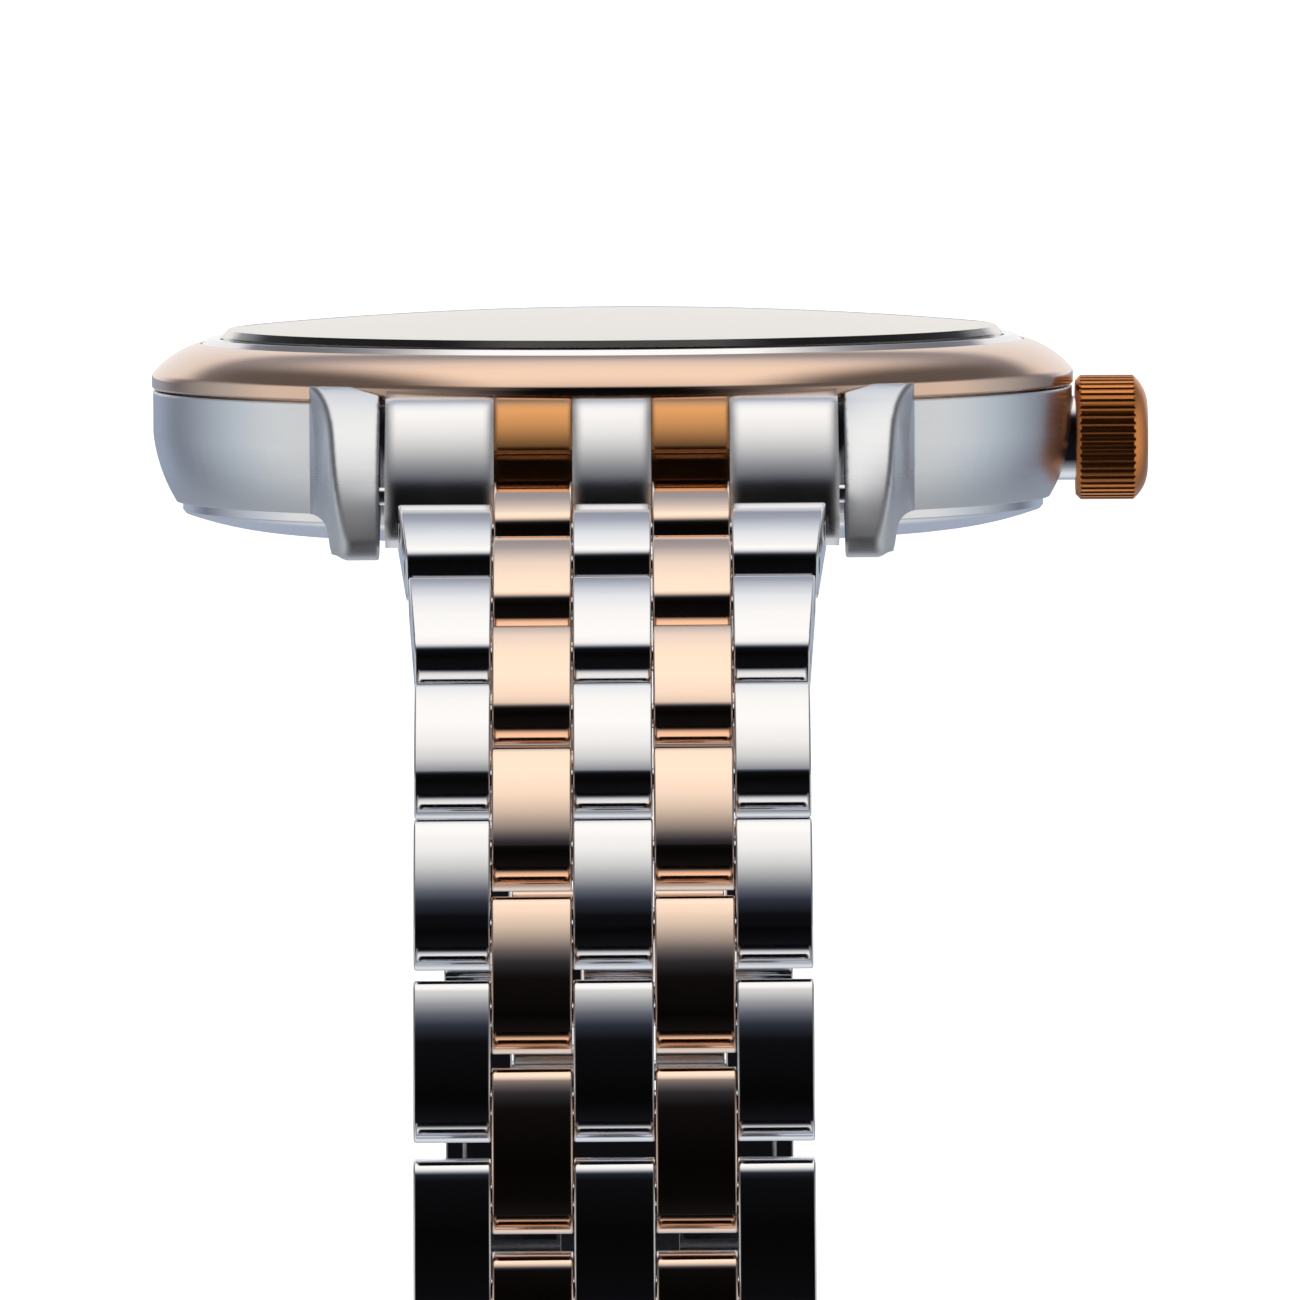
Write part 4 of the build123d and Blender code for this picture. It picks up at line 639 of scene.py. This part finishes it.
class WATCH_OT_dial(bpy.types.Operator):
    """Finish the dial and hands, and print the minute tracks"""

    bl_idname = "watch.dial"
    bl_label = "Dial"

    def execute(self, context):
        look = context.scene.watch_finishes
        dress(["dial", "dial_flange"], silvered_dial("sunray_silvered_dial", look.dial))
        dress(
            ["dial_markers", "hour_hand", "minute_hand", "seconds_hand"],
            polished_metal("polished_rose_gold_hands", look.gold, roughness=0.06),
        )
        marks = bmesh.new()
        for track in (MINUTE_TRACK, SECONDS_TRACK):
            printed_track(marks, *track)
        mesh = bpy.data.meshes.new("minute_track")
        marks.to_mesh(mesh)
        marks.free()
        mesh.materials.append(blued_print("dark_dial_ink"))
        track = bpy.data.objects.new("minute_track", mesh)
        context.scene.collection.objects.link(track)
        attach(track, "head")
        return {"FINISHED"}


class WATCH_OT_movement(bpy.types.Operator):
    """Finish the movement under the dial"""

    bl_idname = "watch.movement"
    bl_label = "Movement"

    def execute(self, context):
        look = context.scene.watch_finishes
        dress(["main_plate"], turned_metal("grained_brass_plate", look.brass, roughness=0.3))
        dress(
            ["mainspring_barrel", "centre_wheel", "third_wheel", "fourth_wheel", "balance_wheel"],
            turned_metal("gilt_brass_wheels", look.brass, roughness=0.2),
        )
        stripes = satin_metal(
            "striped_nickel_bridges", look.satin, roughness=0.25, grain=(0.7, 0.06, 0.06), depth=0.5
        )
        dress(["train_bridge", "balance_cock"], stripes)
        dress(
            ["escape_wheel", "pallet_fork", "setting_lever", "winding_stem"],
            polished_metal("polished_tool_steel", look.satin, roughness=0.1),
        )
        return {"FINISHED"}


class WATCH_OT_bracelet(bpy.types.Operator):
    """Finish the end links, the rows and the clasp"""

    bl_idname = "watch.bracelet"
    bl_label = "Bracelet"

    def execute(self, context):
        look = context.scene.watch_finishes
        links = polished_metal("mirror_polished_steel", look.steel, roughness=0.06, rounding=0.06)
        dress(named("steel_row"), links)
        plated_links = polished_metal("mirror_polished_rose_gold", look.gold, roughness=0.07, rounding=0.06)
        dress(named("gold_row"), plated_links)
        end_links = polished_metal(
            "polished_steel_end_links", look.steel, roughness=0.2, rounding=0.8, crown=END_LINK_CROWN
        )
        dress(["end_link_6", "end_link_12"], end_links)
        # the inserts' deeper colour is partly painted reflection and shade from the gold pieces lighting each
        # other
        inserts = polished_metal(
            "polished_rose_gold_inserts_painted_reflection", look.deep_gold_painted_reflection, roughness=0.14, rounding=0.35, crown=INSERT_CROWN
        )
        dress(["end_link_inserts"], inserts)
        dress(["spring_bars"], polished_metal("drawn_steel_bars", look.steel, roughness=0.15))
        cover = polished_metal("polished_steel_clasp", look.steel, roughness=0.07, rounding=0.2)
        dress(["clasp_cover"], cover)
        blades = satin_metal(
            "satin_steel_blades", look.satin, roughness=0.24, grain=(9.0, 0.3, 0.3), depth=0.15
        )
        dress(["clasp_outer_blade", "clasp_inner_blade"], blades)
        return {"FINISHED"}


# ---------------------------------------------------------------- stage
# The floor lies this far under the bracelet and reaches this far to each side
FLOOR_DROP, FLOOR_REACH = 4 * MM, 20.0
# The camera's sensor in millimetres, and how far the camera sees
SENSOR_WIDTH, CLIP_END = 36.0, 100.0
# Brightness round the watch in the plane of the bracelet: degrees from the front's horizon over the top to
# the back, and how bright the studio is there
STUDIO_BANDS = (
    # the table's glow behind and under the watch
    (-180, (0.36, 0.42, 0.52)), (-150, (0.40, 0.45, 0.54)), (-128, (0.80, 0.82, 0.85)),
    (-112, (0.80, 0.82, 0.85)), (-84, (0.25, 0.26, 0.28)),
    # a black front
    (-62, (0.008, 0.008, 0.010)), (30, (0.002, 0.002, 0.002)), (54, (0.005, 0.005, 0.006)),
    # a wide softbox overhead, cool at its edges
    (61, (0.03, 0.035, 0.05)), (66, (0.14, 0.15, 0.18)), (78, (0.75, 0.74, 0.72)), (86, (1.03, 1.00, 0.96)),
    (98, (1.18, 1.15, 1.10)), (112, (1.15, 1.12, 1.06)), (126, (0.93, 0.94, 0.96)),
    (141, (0.40, 0.43, 0.50)), (149, (0.33, 0.34, 0.39)),
    # the white wall behind
    (155, (0.92, 0.92, 0.92)), (180, (0.96, 0.96, 0.96)),
)
# The same round the horizon, for what faces sideways: degrees from the front
SIDE_PANELS = (
    # a dark front, and a softbox at each side that falls off towards the back
    (0, (0.12, 0.12, 0.13)), (45, (0.20, 0.20, 0.22)), (80, (0.82, 0.82, 0.80)), (95, (0.84, 0.84, 0.82)),
    (110, (0.58, 0.64, 0.70)),
    # a gap, then a cool wall
    (142, (0.16, 0.17, 0.21)), (152, (0.18, 0.20, 0.25)), (164, (0.35, 0.40, 0.48)),
    (180, (0.36, 0.42, 0.52)),
)
# What hangs above those panels, seen in slopes that face up and outwards
UPPER_SIDES = (0.14, 0.135, 0.14)
# In a direction of length 1: how far sideways the bands give way to the panels, how far down the panels fade
# (and to what share), and how high and how far sideways the upper sides begin and end
PANELS_FROM, PANELS_TO = 0.35, 0.7
FADE_END, FADE_START, FADED = -0.75, -0.2, 0.7
UPPER_HEIGHTS, UPPER_WIDTHS = (0.3, 0.6), (0.25, 0.5)


def paper_floor(scene):
    """A wide sheet of paper under the watch, left out of its reflections."""
    shape = bmesh.new()
    bmesh.ops.create_grid(
        shape, x_segments=8, y_segments=8, size=FLOOR_REACH,
        matrix=Matrix.Translation((0, 0, CAD_BOUNDS[0][2] - FLOOR_DROP)),
    )
    mesh = bpy.data.meshes.new("floor")
    shape.to_mesh(mesh)
    shape.free()
    mesh.materials.append(pale_floor("matt_white_paper"))
    floor = bpy.data.objects.new("floor", mesh)
    scene.collection.objects.link(floor)
    floor.visible_glossy = False


def studio_light(scene, strength):
    """The studio as a world: bands over the bracelet, panels at the sides, and plain white for the camera."""
    world = bpy.data.worlds.new("studio")
    world.use_nodes = True
    tree = world.node_tree
    tree.nodes.clear()
    place = put(tree, "ShaderNodeTexCoord")
    split = put(tree, "ShaderNodeSeparateXYZ", links={"Vector": place.outputs["Generated"]})
    front = put(tree, "ShaderNodeMath", {1: -1.0}, {0: split.outputs["Y"]}, operation="MULTIPLY")
    angle = put(
        tree, "ShaderNodeMath", links={0: split.outputs["Z"], 1: front.outputs[0]}, operation="ARCTAN2"
    )
    share = put(
        tree, "ShaderNodeMapRange", {"From Min": -math.pi, "From Max": math.pi}, {"Value": angle.outputs[0]}
    )
    bands = put(
        tree, "ShaderNodeValToRGB", links={"Fac": share.outputs["Result"]},
        stops=[((degrees + 180) / 360, (*colour, 1)) for degrees, colour in STUDIO_BANDS],
    )

    side = put(tree, "ShaderNodeMath", links={0: split.outputs["X"]}, operation="ABSOLUTE")
    round_angle = put(
        tree, "ShaderNodeMath", links={0: side.outputs[0], 1: front.outputs[0]}, operation="ARCTAN2"
    )
    round_share = put(
        tree, "ShaderNodeMath", {1: math.pi}, {0: round_angle.outputs[0]}, operation="DIVIDE"
    )
    panels = put(
        tree, "ShaderNodeValToRGB", links={"Fac": round_share.outputs[0]},
        stops=[(degrees / 180, (*colour, 1)) for degrees, colour in SIDE_PANELS],
    )
    fade = put(
        tree, "ShaderNodeMapRange", {"From Min": FADE_END, "From Max": FADE_START, "To Min": FADED},
        {"Value": split.outputs["Z"]},
    )
    faded = put(
        tree, "ShaderNodeVectorMath", links={0: panels.outputs["Color"], 3: fade.outputs[0]},
        operation="SCALE",
    )
    aside = put(
        tree, "ShaderNodeMapRange", {"From Min": PANELS_FROM, "From Max": PANELS_TO},
        {"Value": side.outputs[0]}, interpolation_type="SMOOTHSTEP",
    )
    lower = put(
        tree, "ShaderNodeMix",
        links={0: aside.outputs["Result"], 6: bands.outputs["Color"], 7: faded.outputs[0]},
        data_type="RGBA",
    )

    high = put(
        tree, "ShaderNodeMapRange", {"From Min": UPPER_HEIGHTS[0], "From Max": UPPER_HEIGHTS[1]},
        {"Value": split.outputs["Z"]}, interpolation_type="SMOOTHSTEP",
    )
    wide = put(
        tree, "ShaderNodeMapRange", {"From Min": UPPER_WIDTHS[0], "From Max": UPPER_WIDTHS[1]},
        {"Value": side.outputs[0]}, interpolation_type="SMOOTHSTEP",
    )
    above = put(
        tree, "ShaderNodeMath", links={0: high.outputs[0], 1: wide.outputs[0]}, operation="MULTIPLY"
    )
    whole = put(
        tree, "ShaderNodeMix", {7: (*UPPER_SIDES, 1)}, {0: above.outputs[0], 6: lower.outputs[2]},
        data_type="RGBA",
    )

    studio = put(tree, "ShaderNodeBackground", {"Strength": strength}, {"Color": whole.outputs[2]})
    plain = put(tree, "ShaderNodeBackground", {"Color": (1, 1, 1, 1), "Strength": 1.0})
    path = put(tree, "ShaderNodeLightPath")
    seen = put(
        tree, "ShaderNodeMixShader",
        links={0: path.outputs["Is Camera Ray"], 1: studio.outputs[0], 2: plain.outputs[0]},
    )
    put(tree, "ShaderNodeOutputWorld", links={"Surface": seen.outputs[0]})
    scene.world = world


def studio_camera(scene, setup):
    """The camera in front of the bracelet, a little above it."""
    data = bpy.data.cameras.new("camera")
    data.sensor_width = SENSOR_WIDTH
    data.lens = setup.focal
    data.clip_end = CLIP_END
    camera = bpy.data.objects.new("camera", data)
    turn = Euler((math.pi / 2 - setup.pitch, 0, 0)).to_matrix() @ Matrix.Rotation(-setup.roll, 3, "Z")
    camera.matrix_world = (
        Matrix.Translation((setup.offset, -setup.distance, setup.height)) @ turn.to_4x4()
    )
    scene.collection.objects.link(camera)
    scene.camera = camera


class WATCH_OT_stage(bpy.types.Operator):
    """Set the floor, the studio light and the camera"""

    bl_idname = "watch.stage"
    bl_label = "Stage"

    def execute(self, context):
        scene = context.scene
        paper_floor(scene)
        studio_light(scene, scene.watch_stage.light)
        studio_camera(scene, scene.watch_stage)
        scene.view_settings.view_transform = "Standard"
        scene.view_settings.look = "None"
        return {"FINISHED"}


class WATCH_PT_panel(bpy.types.Panel):
    """Lists the watch's parts"""

    bl_label = "Watch"
    bl_idname = "WATCH_PT_panel"
    bl_space_type = "VIEW_3D"
    bl_region_type = "UI"
    bl_category = "Watch"

    def draw(self, context):
        for operator in OPERATORS:
            self.layout.operator(operator.bl_idname)
        for group in (context.scene.watch_finishes, context.scene.watch_stage):
            for name in group.__annotations__:
                self.layout.prop(group, name)


OPERATORS = (WATCH_OT_case, WATCH_OT_dial, WATCH_OT_movement, WATCH_OT_bracelet, WATCH_OT_stage)
CLASSES = (WatchFinishes, WatchStage, *OPERATORS, WATCH_PT_panel)


def register():
    for item in CLASSES:
        bpy.utils.register_class(item)
    bpy.types.Scene.watch_finishes = bpy.props.PointerProperty(type=WatchFinishes)
    bpy.types.Scene.watch_stage = bpy.props.PointerProperty(type=WatchStage)


def unregister():
    del bpy.types.Scene.watch_finishes
    del bpy.types.Scene.watch_stage
    for item in reversed(CLASSES):
        bpy.utils.unregister_class(item)


def main():
    register()
    bpy.ops.watch.stage()
    bpy.ops.watch.case()
    bpy.ops.watch.dial()
    bpy.ops.watch.movement()
    bpy.ops.watch.bracelet()


if __name__ == "__main__":
    main()
